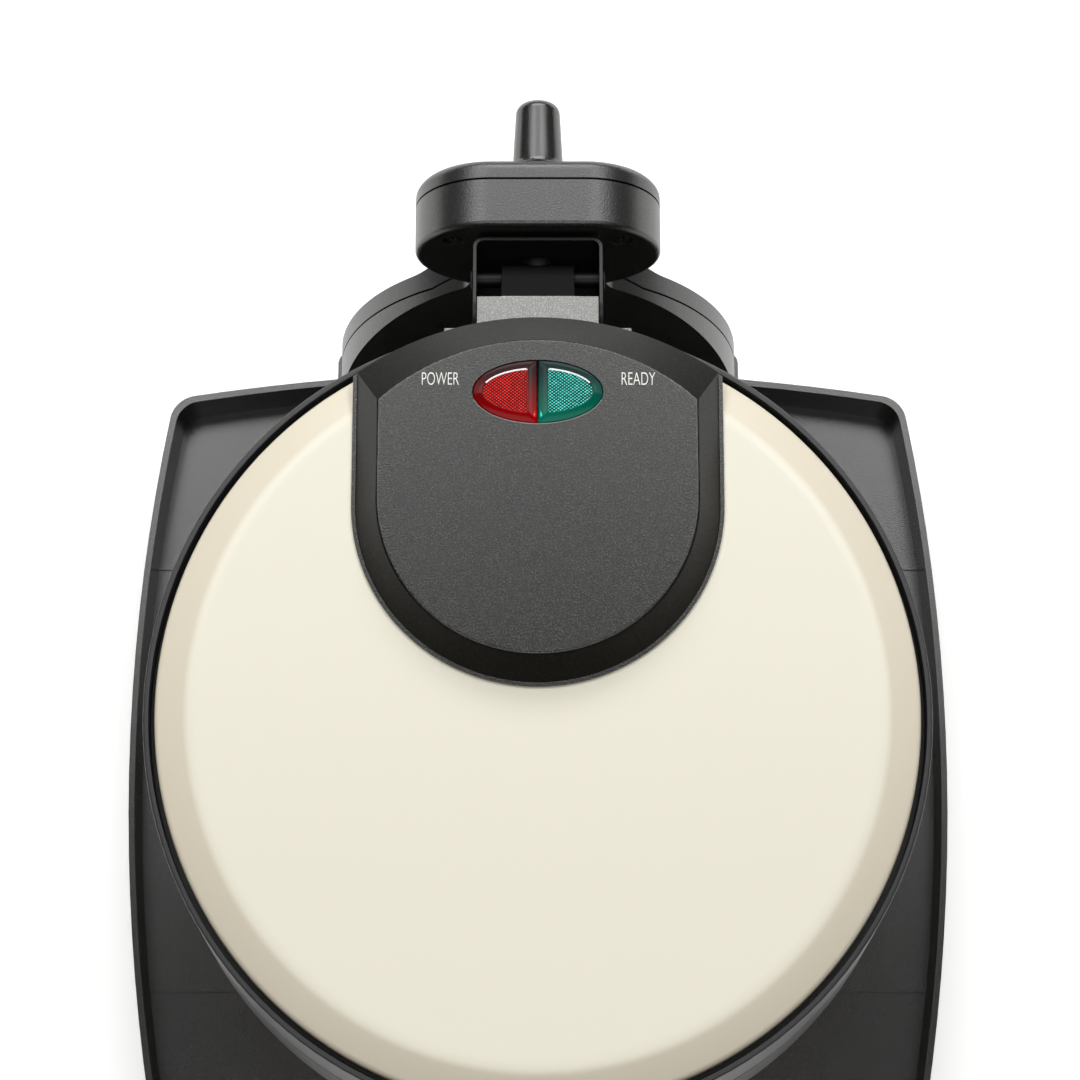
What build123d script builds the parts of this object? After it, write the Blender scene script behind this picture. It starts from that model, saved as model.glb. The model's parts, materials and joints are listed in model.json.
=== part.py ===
from build123d import *
import math
import os

os.makedirs("parts", exist_ok=True)

# A rotating Belgian waffle maker. Lengths are in millimetres, x to the right, y to the rear, z up.
# Each piece is drawn with y = 0 under the middle of the cooker. The origin of the finished part is
# under the middle of its whole outline, so every piece moves by ORIGIN_SHIFT when it is written.

# Reach of the outline, from the middle of the cooker
HANDLE_REACH = 211.0
POST_REACH = 183.0
ORIGIN_SHIFT = (HANDLE_REACH - POST_REACH) / 2

# Clearances
SEAT_GAP = 0.15
FLOAT_GAP = 0.3
TURN_FIT = 0.06
SCREW_FIT = 0.1

# How far a cutting block passes the face that it cuts
CUT = 1.0

# Flip axis, along y
AXIS_Z = 128.0
SPLIT_GAP = 0.6

# Housing ring of each half, an ellipse in plan; heights are from the flip axis
RING_X = 106.2
RING_Y = 110.0
RING_TOP = 29.0
RING_WALL = 2.4
RING_LIP_WALL = 1.6
RING_EDGE_ROUND = 0.8
LEDGE_THICK = 2.5
GRID_LEDGE_R = 98.0
COVER_LEDGE_WIDTH = 5.0

# Cover of each half
COVER_X = 103.0
COVER_Y = 106.7
COVER_SKIRT_FOOT = 22.0
COVER_EDGE = 30.0
COVER_TOP = 34.0
COVER_BEVEL = 9.7
COVER_SHEET = 0.8
COVER_EDGE_ROUND = 1.5
COVER_TOP_ROUND = 3.0

# Waffle grid
CAVITY_R = 90.0
CAVITY_FLOOR_R = 87.0
CAVITY_FLOOR = 15.0
GRID_PLATE = 4.0
GRID_WALL = 3.0
GRID_FLANGE_R = 101.0
GRID_FLANGE = 2.5
GRID_FACE = 0.8
PEG_PITCH = 19.0
PEG_BASE = 11.0
PEG_HEIGHT = 11.0
PEG_DRAFT = 9.0
PEG_FIRST = 12.0
PEG_RIM_GAP = 3.0
PEGS_EACH_WAY = 4
DIVIDER_WIDTH = 5.0
DIVIDER_HEIGHT = 8.0
GROOVE_R = 95.8
GROOVE_WIDTH = 2.4
GROOVE_DEPTH = 0.8
LUG_WIDTH = 9.0
LUG_HEIGHT = 12.0
LUG_HOLE = 15.0

# Heater and heat shield behind each grid
HEATER_R = 62.0
HEATER_TUBE_R = 3.3
HEATER_SWEEP = 300.0
COLD_PIN_R = 1.3
COLD_PIN_LENGTH = 9.0
CHANNEL_WALL = 1.8
CHANNEL_HEIGHT = 3.5
CHANNEL_GAP = 0.4
PILLAR_R = 4.0
PILLAR_CIRCLE = 76.0
PILLAR_HEIGHT = 7.0
REFLECTOR_R = 88.0
REFLECTOR_HOLE_R = 24.0
REFLECTOR_SHEET = 0.6
REFLECTOR_RIM = 1.6

# Thermostat and thermal fuse
STAT_LENGTH = 30.0
STAT_WIDTH = 10.0
STAT_HEIGHT = 4.0
ARM_LENGTH = 22.0
ARM_WIDTH = 4.0
ARM_SHEET = 0.5
ARM_EYE_R = 1.6
ARM_PIN_R = 0.9
ARM_PIVOT_X = -11.0
EAR_THICK = 1.6
CONTACT_R = 1.3
CONTACT_GAP = 0.3
FUSE_R = 1.9
FUSE_LENGTH = 12.0
FUSE_Y = -38.0

# Hinge of the lid
PIN_Y = 128.5
PIN_Z = 141.0
PIN_R = 2.2
PIN_HEAD = 0.5
PIN_HEAD_R = 2.8
KNUCKLE_R = 4.1
KNUCKLE_WIDTH = 20.5
STRAP_TOP = 152.4
STRAP_SHEET = 1.2
STRAP_WIDTH = 34.0
STRAP_FRONT = 95.0
STRAP_BEND = 119.6
STRAP_SHELF = 6.0
STRAP_SCREW_X = (-9.0, 9.0)
STRAP_SCREW_Y = 101.0

# Bracket between the flip shaft and the lower half
WEB_FRONT = 138.5
BRACKET_SHEET = 1.0
BRACKET_GAP = 0.4
FRONT_PLATE_TOP = 126.0
CHEEK_TOP = 146.5
CHEEK_FOOT = 111.0
CHEEK_CORNER = 10.0
FOLD_R = 3.0
BRACKET_SCREW_X = 10.0
BRACKET_SCREW_Z = 118.0
WIRE_HOLE_R = 4.0

# Flip shaft and its bearing in the head
SHAFT_R = 7.0
SHAFT_BORE_R = 4.5
BUSH_WALL = 2.5
BUSH_FLANGE_R = 12.5
BUSH_FLANGE = 2.0
BUSH_LENGTH = 11.0
WASHER_THICK = 1.2
NUT_ACROSS = 22.0
NUT_THICK = 4.0

# Column and head
HEAD_FRONT = 140.5
HEAD_REAR = 161.0
HEAD_HALF_WIDTH = 35.3
HEAD_TOP = 153.0
HEAD_DROP = 28.0
HEAD_CORNER_X = 22.0
DOME_HALF_WIDTH = 62.5
DOME_CENTRE_Z = 16.0
DOME_HEIGHT = 88.0
NECK_HALF_WIDTH = 20.0
NECK_ROUND = 6.0
COLUMN_FOOT = 14.0
COLUMN_FRONT_FOOT = 131.0
COLUMN_FRONT_NECK = 142.0
COLUMN_LEAN_START = 28.0
COLUMN_LEAN_END = 100.0
COLUMN_REAR = 150.0
COLUMN_REAR_KNEE = 88.0
COLUMN_REAR_NECK = 118.0
SEAM_FOOT = 144.0
SEAM_HEAD = 154.7
SEAM_KNEE = 92.0
SEAM_NECK = 120.0
COLUMN_WALL = 2.4
COLUMN_FRONT_ROUND = 1.6
COLUMN_REAR_ROUND = 3.5
PROFILE_ROUND = 12.0

# Rear post
POST_Z = 139.0
POST_ROOT_R = 7.2
POST_TIP_R = 6.2
POST_FLARE_R = 9.8
POST_FLARE = 3.5
POST_SPIGOT_R = 3.0

# Drip base
BASE_MIDDLE = 17.0
BASE_HALF_WIDTH = 125.0
BASE_HALF_DEPTH = 123.0
BASE_CORNER_X = 114.6
BASE_CORNER_Y = 113.6
BASE_CORNER_ROUND = 9.0
BASE_RIM = 28.0
BASE_FLOOR = 15.0
BASE_FLOOR_THICK = 2.2
BASE_FOOT = 3.0
BASE_WALL = 1.8
BASE_DRAFT = 0.075
CROSS_RIB_FRONT = -54.0
CROSS_RIB_REAR = 79.0
CROSS_RIB_HEIGHT = 0.6
CROSS_RIB_WIDTH = 1.6
PEDESTAL_MARGIN = 1.5
UNDER_RIB = 1.8
UNDER_RIB_X = (-60.0, 0.0, 60.0)
UNDER_RIB_Y = (-45.0, 17.0, 79.0)

# Feet
FOOT_R = 9.0
FOOT_X = 98.0
FOOT_Y = 98.0
FOOT_PLUG_R = 4.0
FOOT_PLUG = 5.0
FOOT_BOSS_WALL = 2.5

# Screws
SCREW_R = 1.5
SCREW_HEAD_R = 3.0
SCREW_HEAD = 2.0
BOSS_R = 4.0
HEAD_SCREW_X = 24.0
HEAD_SCREW_Z = 141.0
HEAD_SCREW_SINK = 3.0
HEAD_SCREW_LENGTH = 15.0
COVER_SCREW_X = 40.0
COVER_SCREW_Z = 40.0
COVER_HOLE_START = 138.0
COLUMN_SCREW_X = (-48.0, -20.0, 20.0, 48.0)
COLUMN_SCREW_Y = 138.5
COLUMN_BOSS = 15.0
BOSS_WEB = 2.0

# Terminals, gland and bottom plate in the foot of the column
TERMINAL_WIDTH = 34.0
TERMINAL_DEPTH = 8.0
TERMINAL_HEIGHT = 12.0
TERMINAL_Z = 50.0
TERMINAL_WAYS = 3
TERMINAL_HOLE_R = 2.4
GLAND_BORE_R = 3.7
GLAND_R = 6.2
GLAND_FLANGE_R = 8.2
GLAND_FLANGE = 2.5
GLAND_INSIDE = 1.0
GLAND_Z = 28.0
BOTTOM_PLATE = 1.2

# Light panel on the lid
PANEL_FOOT_X = 49.6
PANEL_TOP_X = 43.5
PANEL_FOOT_CORNER_Y = 93.5
PANEL_TOP_CORNER_Y = 83.2
PANEL_FOOT_REAR = 109.6
PANEL_TOP_REAR = 100.4
PANEL_ARC_Y = 55.7
PANEL_TOP = 42.0
PANEL_LIP = 1.1
PANEL_LIP_THICK = 0.8
PANEL_WALL = 2.2
PANEL_EDGE_ROUND = 1.2
PANEL_LEDGE = 5.0
PANEL_BOSS_X = 39.5
PANEL_BOSS_Y = 62.0
PANEL_BOSS_FRONT_Y = 15.0
PANEL_EAR_R = 6.5
PANEL_SCREW_LENGTH = 7.4

# Lens and lamps
LENS_X = 17.7
LENS_Y = 9.0
LENS_MIDDLE_Y = 85.6
LENS_PROUD = 0.6
LENS_DEPTH = 4.2
LENS_SPLIT = 0.8
LENS_EDGE_ROUND = 1.2
LENS_SEAT = 0.15
COLLAR_WALL = 1.2
COLLAR_DEPTH = 1.6
LAMP_R = 2.4
LAMP_LENGTH = 5.5
LAMP_X = 8.5
HOLDER_X = 22.0
HOLDER_Y = 6.0
HOLDER_SHEET = 1.6
HOLDER_CUP = 1.2
HOLDER_TOP = 33.0
HOLDER_POST_X = 20.0
HOLDER_POST_R = 1.8

# Cover clips behind the panel
CLIP_X = 24.2
CLIP_WIDTH = 3.6
CLIP_SHEET = 0.6
CLIP_DROP = 5.0
CLIP_REACH = 6.0

# Handles: distance from the middle, half width and height of each section
HANDLE_SECTIONS = (
    (98.0, 27.0, 15.0),
    (118.0, 23.0, 14.5),
    (142.0, 17.0, 13.0),
    (170.0, 18.0, 12.8),
    (196.0, 20.0, 12.3),
    (206.0, 17.5, 11.3),
    (HANDLE_REACH, 12.0, 8.6),
)
HANDLE_GAP = 1.5
HANDLE_ROUND = 4.5
HANDLE_SCREW_X = 14.0
HANDLE_SCREW_H = 9.5
HANDLE_SCREW_LENGTH = 18.0

# Wire bail that latches the two handles together
BAIL_Y = -196.0
BAIL_H = 7.0
BAIL_WIRE_R = 1.4
BAIL_TIP_R = 22.0
BAIL_REACH = BAIL_TIP_R + FLOAT_GAP + BAIL_WIRE_R
BAIL_REST_ANGLE = 21.0
BAIL_HOLE_DEPTH = 5.0
BAIL_BEND_R = 1.6
BAIL_SIDE_GAP = 1.0


# Values worked out from the sizes above
CHANNEL_END_X = HEATER_R * math.sin(math.radians((360 - HEATER_SWEEP) / 2)) + 2
LUG_SPAN = BRACKET_SCREW_X + LUG_WIDTH
CHEEK_OUTSIDE = STRAP_WIDTH / 2 + FLOAT_GAP + BRACKET_SHEET
BRACKET_FRONT = RING_Y + BRACKET_GAP
PANEL_FOOT_H = RING_TOP - 1
CLIP_EDGE = RING_Y * math.sqrt(1 - (CLIP_X / RING_X) ** 2) + 0.6


def bar(start, direction, radius, length):
    """A round bar that starts at a point and runs along a direction."""
    plane = Plane(origin=start, z_dir=direction)
    return plane * Cylinder(radius, length, align=(Align.CENTER, Align.CENTER, Align.MIN))


def tube(start, direction, outer, inner, length):
    """A round tube with a bore right through."""
    return bar(start, direction, outer, length) - bar(start, direction, inner, length)


def block(x0, x1, y0, y1, z0, z1):
    """A block between two corners."""
    middle = Pos((x0 + x1) / 2, (y0 + y1) / 2, (z0 + z1) / 2)
    return middle * Box(x1 - x0, y1 - y0, z1 - z0)


def screw(start, direction, length):
    """A screw with a sloped head: its top is at the start and the shank runs along the direction."""
    head = bar(start, direction, SCREW_HEAD_R, SCREW_HEAD)
    sloped = chamfer(head.edges().sort_by(Axis(start, direction))[0], SCREW_HEAD * 0.4)
    return sloped + bar(start, direction, SCREW_R, length)


def oval(half_x, half_y, low, high):
    """An upright elliptical block."""
    return Pos(0, 0, low) * extrude(Ellipse(half_x, half_y), high - low)


def upper(shape):
    """Places a piece of a half, drawn from the flip axis upwards, in the upper half."""
    return Pos(0, 0, AXIS_Z) * shape


def lower(shape):
    """Places the same piece in the lower half, turned over about the flip axis."""
    return Pos(0, 0, AXIS_Z) * Rot(0, 180, 0) * shape


def write(name, shape):
    """Writes one piece, moved so that the origin is under the middle of the outline."""
    export_step(Pos(0, ORIGIN_SHIFT, 0) * shape, f"parts/{name}.step")


# Waffle grid: a revolved dish with tapered pegs, dividers, heater channel, pillars and rear lugs
GRID_BACK = CAVITY_FLOOR + GRID_PLATE
PILLAR_ANGLES = (45, 135, 225, 315)


def grid_dish():
    half_groove = GROOVE_WIDTH / 2
    outline = [
        (0, CAVITY_FLOOR),
        (CAVITY_FLOOR_R, CAVITY_FLOOR),
        (CAVITY_R, GRID_FACE),
        (GROOVE_R - half_groove, GRID_FACE),
        (GROOVE_R - half_groove, GRID_FACE + GROOVE_DEPTH),
        (GROOVE_R + half_groove, GRID_FACE + GROOVE_DEPTH),
        (GROOVE_R + half_groove, GRID_FACE),
        (GRID_FLANGE_R, GRID_FACE),
        (GRID_FLANGE_R, GRID_FACE + GRID_FLANGE),
        (CAVITY_R + GRID_WALL, GRID_FACE + GRID_FLANGE),
        (CAVITY_FLOOR_R + GRID_WALL, GRID_BACK),
        (0, GRID_BACK),
    ]
    profile = make_face(Polyline(*outline, close=True))
    return revolve(Plane.XZ * profile, Axis.Z)


def peg_places():
    """Peg centres in one quarter: a square pattern kept inside the dish."""
    limit = CAVITY_FLOOR_R - PEG_RIM_GAP
    line = [PEG_FIRST + PEG_PITCH * i for i in range(PEGS_EACH_WAY)]
    half = PEG_BASE / 2
    return [(x, y) for x in line for y in line if math.hypot(x + half, y + half) < limit]


def grid_pegs():
    """Tapered pegs of all four quarters."""
    places = [(sx * x, sy * y) for x, y in peg_places() for sx in (-1, 1) for sy in (-1, 1)]
    root = Plane(origin=(0, 0, CAVITY_FLOOR), z_dir=(0, 0, -1))
    feet = Sketch() + [root * Pos(x, y) * Rectangle(PEG_BASE, PEG_BASE) for x, y in places]
    return extrude(feet, PEG_HEIGHT, taper=PEG_DRAFT)


def grid_dividers():
    """The cross of tapered ridges that parts the waffle into quarters."""
    root = Plane(origin=(0, 0, CAVITY_FLOOR), z_dir=(0, 0, -1))
    length = 2 * CAVITY_FLOOR_R
    along = extrude(root * Rectangle(length, DIVIDER_WIDTH), DIVIDER_HEIGHT, taper=PEG_DRAFT)
    across = extrude(root * Rectangle(DIVIDER_WIDTH, length), DIVIDER_HEIGHT, taper=PEG_DRAFT)
    return along + across


def heater_channel():
    """Two low round walls on the back of the grid that hold the heater tube between them."""
    inner = HEATER_R - HEATER_TUBE_R - CHANNEL_GAP
    outer = HEATER_R + HEATER_TUBE_R + CHANNEL_GAP
    up = (0, 0, 1)
    walls = tube((0, 0, GRID_BACK), up, inner, inner - CHANNEL_WALL, CHANNEL_HEIGHT)
    walls += tube((0, 0, GRID_BACK), up, outer + CHANNEL_WALL, outer, CHANNEL_HEIGHT)
    ends = block(-CHANNEL_END_X, CHANNEL_END_X, 0, GRID_FLANGE_R, GRID_BACK, GRID_BACK + CHANNEL_HEIGHT)
    return walls - ends


def pillar_places():
    """Centres of the pillars that carry the heat shield."""
    spots = [math.radians(angle) for angle in PILLAR_ANGLES]
    return [(PILLAR_CIRCLE * math.cos(a), PILLAR_CIRCLE * math.sin(a)) for a in spots]


def rear_lugs():
    """Two cast lugs that take the bracket's screws."""
    base = GRID_FACE + GRID_FLANGE
    reach = RING_WALL + SEAT_GAP
    inside_ring = oval(RING_X - reach, RING_Y - reach, 0, RING_TOP)
    lugs = []
    for side in (-1, 1):
        x = side * BRACKET_SCREW_X
        lug = block(x - LUG_WIDTH / 2, x + LUG_WIDTH / 2, CAVITY_FLOOR_R, RING_Y, base, base + LUG_HEIGHT)
        lugs.append(lug & inside_ring)
    return lugs


def waffle_grid():
    """One cast plate: dish, pegs, dividers, heater channel, pillars and lugs."""
    inside = bar((0, 0, GRID_FACE), (0, 0, 1), CAVITY_FLOOR_R, GRID_BACK - GRID_FACE)
    dish = grid_dish()
    cast = dish + grid_pegs() + (grid_dividers() & inside) + heater_channel()
    for x, y in pillar_places():
        cast += bar((x, y, GRID_BACK), (0, 0, 1), PILLAR_R, PILLAR_HEIGHT)
        cast -= bar((x, y, GRID_BACK + CUT), (0, 0, 1), SCREW_R + SCREW_FIT, PILLAR_HEIGHT)
    hollow = bar((0, 0, GRID_FACE), (0, 0, 1), CAVITY_FLOOR_R + GRID_WALL, GRID_BACK - GRID_FACE)
    cast += [lug - hollow for lug in rear_lugs()]
    for side in (-1, 1):
        start = (side * BRACKET_SCREW_X, RING_Y, AXIS_Z - BRACKET_SCREW_Z)
        cast -= bar(start, (0, -1, 0), SCREW_R + SCREW_FIT, LUG_HOLE)
    return cast


# Heater: a tube bent round most of a circle, with a thinner terminal pin at each end
def heater():
    gap = (360 - HEATER_SWEEP) / 2
    height = GRID_BACK + HEATER_TUBE_R
    path = Pos(0, 0, height) * CenterArc((0, 0), HEATER_R, 90 + gap, HEATER_SWEEP)
    section = Plane(origin=path @ 0, z_dir=path % 0) * Circle(HEATER_TUBE_R)
    element = sweep(section, path=path)
    element += bar(path @ 0, -(path % 0), COLD_PIN_R, COLD_PIN_LENGTH)
    element += bar(path @ 1, path % 1, COLD_PIN_R, COLD_PIN_LENGTH)
    return element


def reflector():
    """Heat shield: a round sheet with a turned rim, on the grid's pillars."""
    low = GRID_BACK + PILLAR_HEIGHT
    up = (0, 0, 1)
    sheet = tube((0, 0, low), up, REFLECTOR_R, REFLECTOR_HOLE_R, REFLECTOR_SHEET)
    inner = REFLECTOR_R - REFLECTOR_SHEET
    sheet += tube((0, 0, low), up, REFLECTOR_R, inner, REFLECTOR_SHEET + REFLECTOR_RIM)
    for x, y in pillar_places():
        sheet -= bar((x, y, low), up, SCREW_R + SCREW_FIT, REFLECTOR_SHEET)
    return sheet


def grid_screws():
    """Screws that hold the heat shield to the pillars."""
    top = GRID_BACK + PILLAR_HEIGHT + REFLECTOR_SHEET + SCREW_HEAD
    length = SCREW_HEAD + REFLECTOR_SHEET + PILLAR_HEIGHT - 2
    return [screw((x, y, top), (0, 0, -1), length) for x, y in pillar_places()]


# Thermostat: a base on the grid's back with two ears, and a sprung contact arm on a pin between them
def stat_pivot_height():
    return GRID_BACK + STAT_HEIGHT + ARM_EYE_R + FLOAT_GAP


def thermostat_base():
    half_width = STAT_WIDTH / 2
    high = GRID_BACK + STAT_HEIGHT
    body = block(-STAT_LENGTH / 2, STAT_LENGTH / 2, -half_width, half_width, GRID_BACK, high)
    pivot = stat_pivot_height()
    ear_inside = ARM_WIDTH / 2 + FLOAT_GAP
    for side in (-1, 1):
        near = side * ear_inside
        far = side * (ear_inside + EAR_THICK)
        ear = block(ARM_PIVOT_X - ARM_EYE_R, ARM_PIVOT_X + ARM_EYE_R, min(near, far), max(near, far),
                    high, pivot)
        body += ear
        body += bar((ARM_PIVOT_X, min(near, far), pivot), (0, 1, 0), ARM_EYE_R, EAR_THICK)
    body += bar((ARM_PIVOT_X, -ear_inside, pivot), (0, 1, 0), ARM_PIN_R, 2 * ear_inside)
    contact_x = ARM_PIVOT_X + ARM_LENGTH - CONTACT_R
    contact_height = pivot - ARM_SHEET / 2 - CONTACT_GAP - high
    return body + bar((contact_x, 0, high), (0, 0, 1), CONTACT_R, contact_height)


def contact_arm():
    pivot = stat_pivot_height()
    half_width = ARM_WIDTH / 2
    low = pivot - ARM_SHEET / 2
    leaf = block(ARM_PIVOT_X, ARM_PIVOT_X + ARM_LENGTH, -half_width, half_width, low, low + ARM_SHEET)
    eye = bar((ARM_PIVOT_X, -half_width, pivot), (0, 1, 0), ARM_EYE_R, ARM_WIDTH)
    bore = bar((ARM_PIVOT_X, -half_width, pivot), (0, 1, 0), ARM_PIN_R + TURN_FIT, ARM_WIDTH)
    return leaf + eye - bore


def thermal_fuse():
    """A small fuse cartridge in a saddle on the grid's back."""
    half = FUSE_LENGTH / 2
    height = GRID_BACK + FUSE_R
    cartridge = bar((-half, FUSE_Y, height), (1, 0, 0), FUSE_R, FUSE_LENGTH)
    for side in (-1, 1):
        start = (side * half, FUSE_Y, height)
        cartridge += bar(start, (side, 0, 0), FUSE_R / 3, half)
    saddle = block(-half / 3, half / 3, FUSE_Y - FUSE_R, FUSE_Y + FUSE_R, GRID_BACK, height)
    return cartridge + saddle


# Housing ring of a half: an elliptical wall with a ledge for the grid and a ledge for the cover
def housing_ring():
    outer = oval(RING_X, RING_Y, SPLIT_GAP, RING_TOP)
    rims = outer.edges().filter_by(GeomType.LINE, reverse=True)
    outer = fillet(rims, RING_EDGE_ROUND)
    inner_x = RING_X - RING_WALL
    inner_y = RING_Y - RING_WALL
    ring = outer - oval(inner_x, inner_y, 0, COVER_SKIRT_FOOT)
    ring -= oval(RING_X - RING_LIP_WALL, RING_Y - RING_LIP_WALL, COVER_SKIRT_FOOT, RING_TOP + CUT)
    grid_seat = GRID_FACE + GRID_FLANGE + SEAT_GAP
    ledge = oval(inner_x + CUT, inner_y + CUT, grid_seat, grid_seat + LEDGE_THICK)
    ledge -= bar((0, 0, grid_seat), (0, 0, 1), GRID_LEDGE_R, LEDGE_THICK)
    ledge -= block(-LUG_SPAN, LUG_SPAN, 0, RING_Y, 0, RING_TOP)
    cover_seat = COVER_SKIRT_FOOT
    shelf = oval(inner_x + CUT, inner_y + CUT, cover_seat - LEDGE_THICK, cover_seat)
    shelf -= oval(inner_x - COVER_LEDGE_WIDTH, inner_y - COVER_LEDGE_WIDTH, 0, RING_TOP)
    ring = ring + ledge + shelf
    for side in (-1, 1):
        start = (side * HANDLE_SCREW_X, 0, HANDLE_SCREW_H)
        ring -= bar(start, (0, -1, 0), SCREW_R + SCREW_FIT, HANDLE_REACH)
    return ring


def upper_ring():
    """The lid's ring has a rear notch for the strap and a block that the strap is screwed to."""
    strap_low = STRAP_TOP - STRAP_SHEET - AXIS_Z
    half = STRAP_WIDTH / 2
    shelf = block(-half, half, STRAP_FRONT, RING_Y - CUT, strap_low - STRAP_SHELF, strap_low)
    ring = housing_ring() + (shelf & oval(RING_X - CUT, RING_Y - CUT, 0, RING_TOP))
    notch = half + FLOAT_GAP
    ring -= block(-notch, notch, STRAP_FRONT, RING_Y + CUT, strap_low, RING_TOP + CUT)
    for x in STRAP_SCREW_X:
        ring -= bar((x, STRAP_SCREW_Y, strap_low), (0, 0, -1), SCREW_R + SCREW_FIT, STRAP_SHELF)
    return upper(ring)


def lower_ring():
    """The lower ring has rear holes for the bracket's screws and for the wires."""
    ring = lower(housing_ring())
    for side in (-1, 1):
        start = (side * BRACKET_SCREW_X, CAVITY_R, BRACKET_SCREW_Z)
        ring -= bar(start, (0, 1, 0), SCREW_R + SCREW_FIT, RING_Y)
    return ring - bar((0, CAVITY_R, BRACKET_SCREW_Z), (0, 1, 0), WIRE_HOLE_R, RING_Y)


# Cover of a half: an oval sheet pressing, flat on top, with a sloped bevel and an upright skirt
def cover_form(inset, rounded):
    foot = Ellipse(COVER_X - inset, COVER_Y - inset)
    crown = Ellipse(COVER_X - COVER_BEVEL - inset / 2, COVER_Y - COVER_BEVEL - inset / 2)
    edge = COVER_EDGE - inset / 2
    top = COVER_TOP - inset
    form = Pos(0, 0, COVER_SKIRT_FOOT) * extrude(foot, edge - COVER_SKIRT_FOOT)
    form += loft([Pos(0, 0, edge) * foot, Pos(0, 0, top) * crown], ruled=True)
    if rounded:
        form = fillet(level_edges(form, edge), COVER_EDGE_ROUND)
        form = fillet(level_edges(form, top), COVER_TOP_ROUND)
    return form


def level_edges(shape, height):
    """Edges of a shape that lie all in one level plane."""
    low = height - 0.01
    high = height + 0.01
    boxes = [(edge, edge.bounding_box()) for edge in shape.edges()]
    return [edge for edge, box in boxes if box.min.Z > low and box.max.Z < high]


def cover_sheet():
    inner = cover_form(COVER_SHEET, False)
    open_foot = oval(COVER_X - COVER_SHEET, COVER_Y - COVER_SHEET, 0, COVER_SKIRT_FOOT + CUT)
    return cover_form(0, True) - inner - open_foot


# Light panel: a shield outline, half round in front, with sloped sides and a flat top
def shield(half_x, corner_y, rear_y):
    """Outline of the panel: two straight sides, a half round front and a bowed rear."""
    right = (half_x, PANEL_ARC_Y)
    left = (-half_x, PANEL_ARC_Y)
    front = ThreePointArc(left, (0, PANEL_ARC_Y - half_x), right)
    side = Line(right, (half_x, corner_y))
    rear = ThreePointArc((half_x, corner_y), (0, rear_y), (-half_x, corner_y))
    back = Line((-half_x, corner_y), left)
    return make_face(Wire([front, side, rear, back]))


def panel_form(inset):
    """The panel's block, from under the cover's edge to the panel's top, drawn in by an inset."""
    slope_foot = COVER_TOP + PANEL_LIP_THICK
    foot = shield(PANEL_FOOT_X - inset, PANEL_FOOT_CORNER_Y - inset, PANEL_FOOT_REAR - inset)
    crown = shield(PANEL_TOP_X - inset, PANEL_TOP_CORNER_Y - inset, PANEL_TOP_REAR - inset)
    block_foot = Pos(0, 0, PANEL_FOOT_H) * extrude(foot, slope_foot - PANEL_FOOT_H)
    slope = loft([Pos(0, 0, slope_foot) * foot, Pos(0, 0, PANEL_TOP - inset) * crown], ruled=True)
    return block_foot + slope


def panel_boss_places():
    return [(-PANEL_BOSS_X, PANEL_BOSS_Y), (PANEL_BOSS_X, PANEL_BOSS_Y), (0, PANEL_BOSS_FRONT_Y)]


def cover_notch():
    """The part of the cover that is cut away under the panel, with an ear left round each screw."""
    opening = shield(PANEL_FOOT_X - PANEL_LEDGE, PANEL_FOOT_REAR + RING_Y, PANEL_FOOT_REAR + RING_Y + CUT)
    notch = extrude(opening, COVER_TOP + CUT)
    for x, y in panel_boss_places():
        notch -= bar((x, y, 0), (0, 0, 1), PANEL_EAR_R, COVER_TOP + CUT)
    return notch


def lid_cover():
    cover = cover_sheet() - cover_notch()
    for x, y in panel_boss_places():
        cover -= bar((x, y, COVER_SKIRT_FOOT), (0, 0, 1), SCREW_R + SCREW_FIT, COVER_TOP)
    return upper(cover)


def panel_shell():
    shell = fillet(level_edges(panel_form(0), PANEL_TOP), PANEL_EDGE_ROUND)
    lip = shield(PANEL_FOOT_X + PANEL_LIP, PANEL_FOOT_CORNER_Y - PANEL_LIP, PANEL_FOOT_REAR - PANEL_LIP)
    shell += Pos(0, 0, COVER_TOP - 1) * extrude(lip, 1 + PANEL_LIP_THICK)
    shell -= panel_form(PANEL_WALL)
    shell -= panel_hollow_below()
    shell -= cover_form(-SEAT_GAP, False)
    rim = oval(RING_X + CUT, RING_Y + CUT, 0, RING_TOP + SEAT_GAP)
    return shell - rim


def panel_hollow_below():
    """Opens the underside of the panel inside its wall."""
    wall = PANEL_WALL
    inside = shield(PANEL_FOOT_X - wall, PANEL_FOOT_CORNER_Y - wall, PANEL_FOOT_REAR - wall)
    return extrude(inside, COVER_TOP + PANEL_LIP_THICK)


def lens_oval(grow, low, high):
    return Pos(0, LENS_MIDDLE_Y, 0) * oval(LENS_X + grow, LENS_Y + grow, low, high)


def light_panel():
    shell = panel_shell()
    shell -= lens_oval(LENS_SEAT, COVER_TOP, PANEL_TOP + CUT)
    ceiling = PANEL_TOP - PANEL_WALL
    collar = lens_oval(LENS_SEAT + COLLAR_WALL, ceiling - COLLAR_DEPTH, ceiling)
    shell += collar - lens_oval(LENS_SEAT, 0, PANEL_TOP)
    for x, y in panel_boss_places():
        boss = bar((x, y, COVER_TOP + SEAT_GAP), (0, 0, 1), BOSS_R, ceiling - COVER_TOP)
        hole = bar((x, y, COVER_TOP), (0, 0, 1), SCREW_R + SCREW_FIT, ceiling - COVER_TOP - 1)
        shell = shell + boss - hole
    for side in (-1, 1):
        post = bar((side * HOLDER_POST_X, LENS_MIDDLE_Y, HOLDER_TOP), (0, 0, 1), HOLDER_POST_R,
                   ceiling - HOLDER_TOP)
        shell = shell + post - clip_leaf(side, SEAT_GAP)
    return upper(shell)


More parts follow.
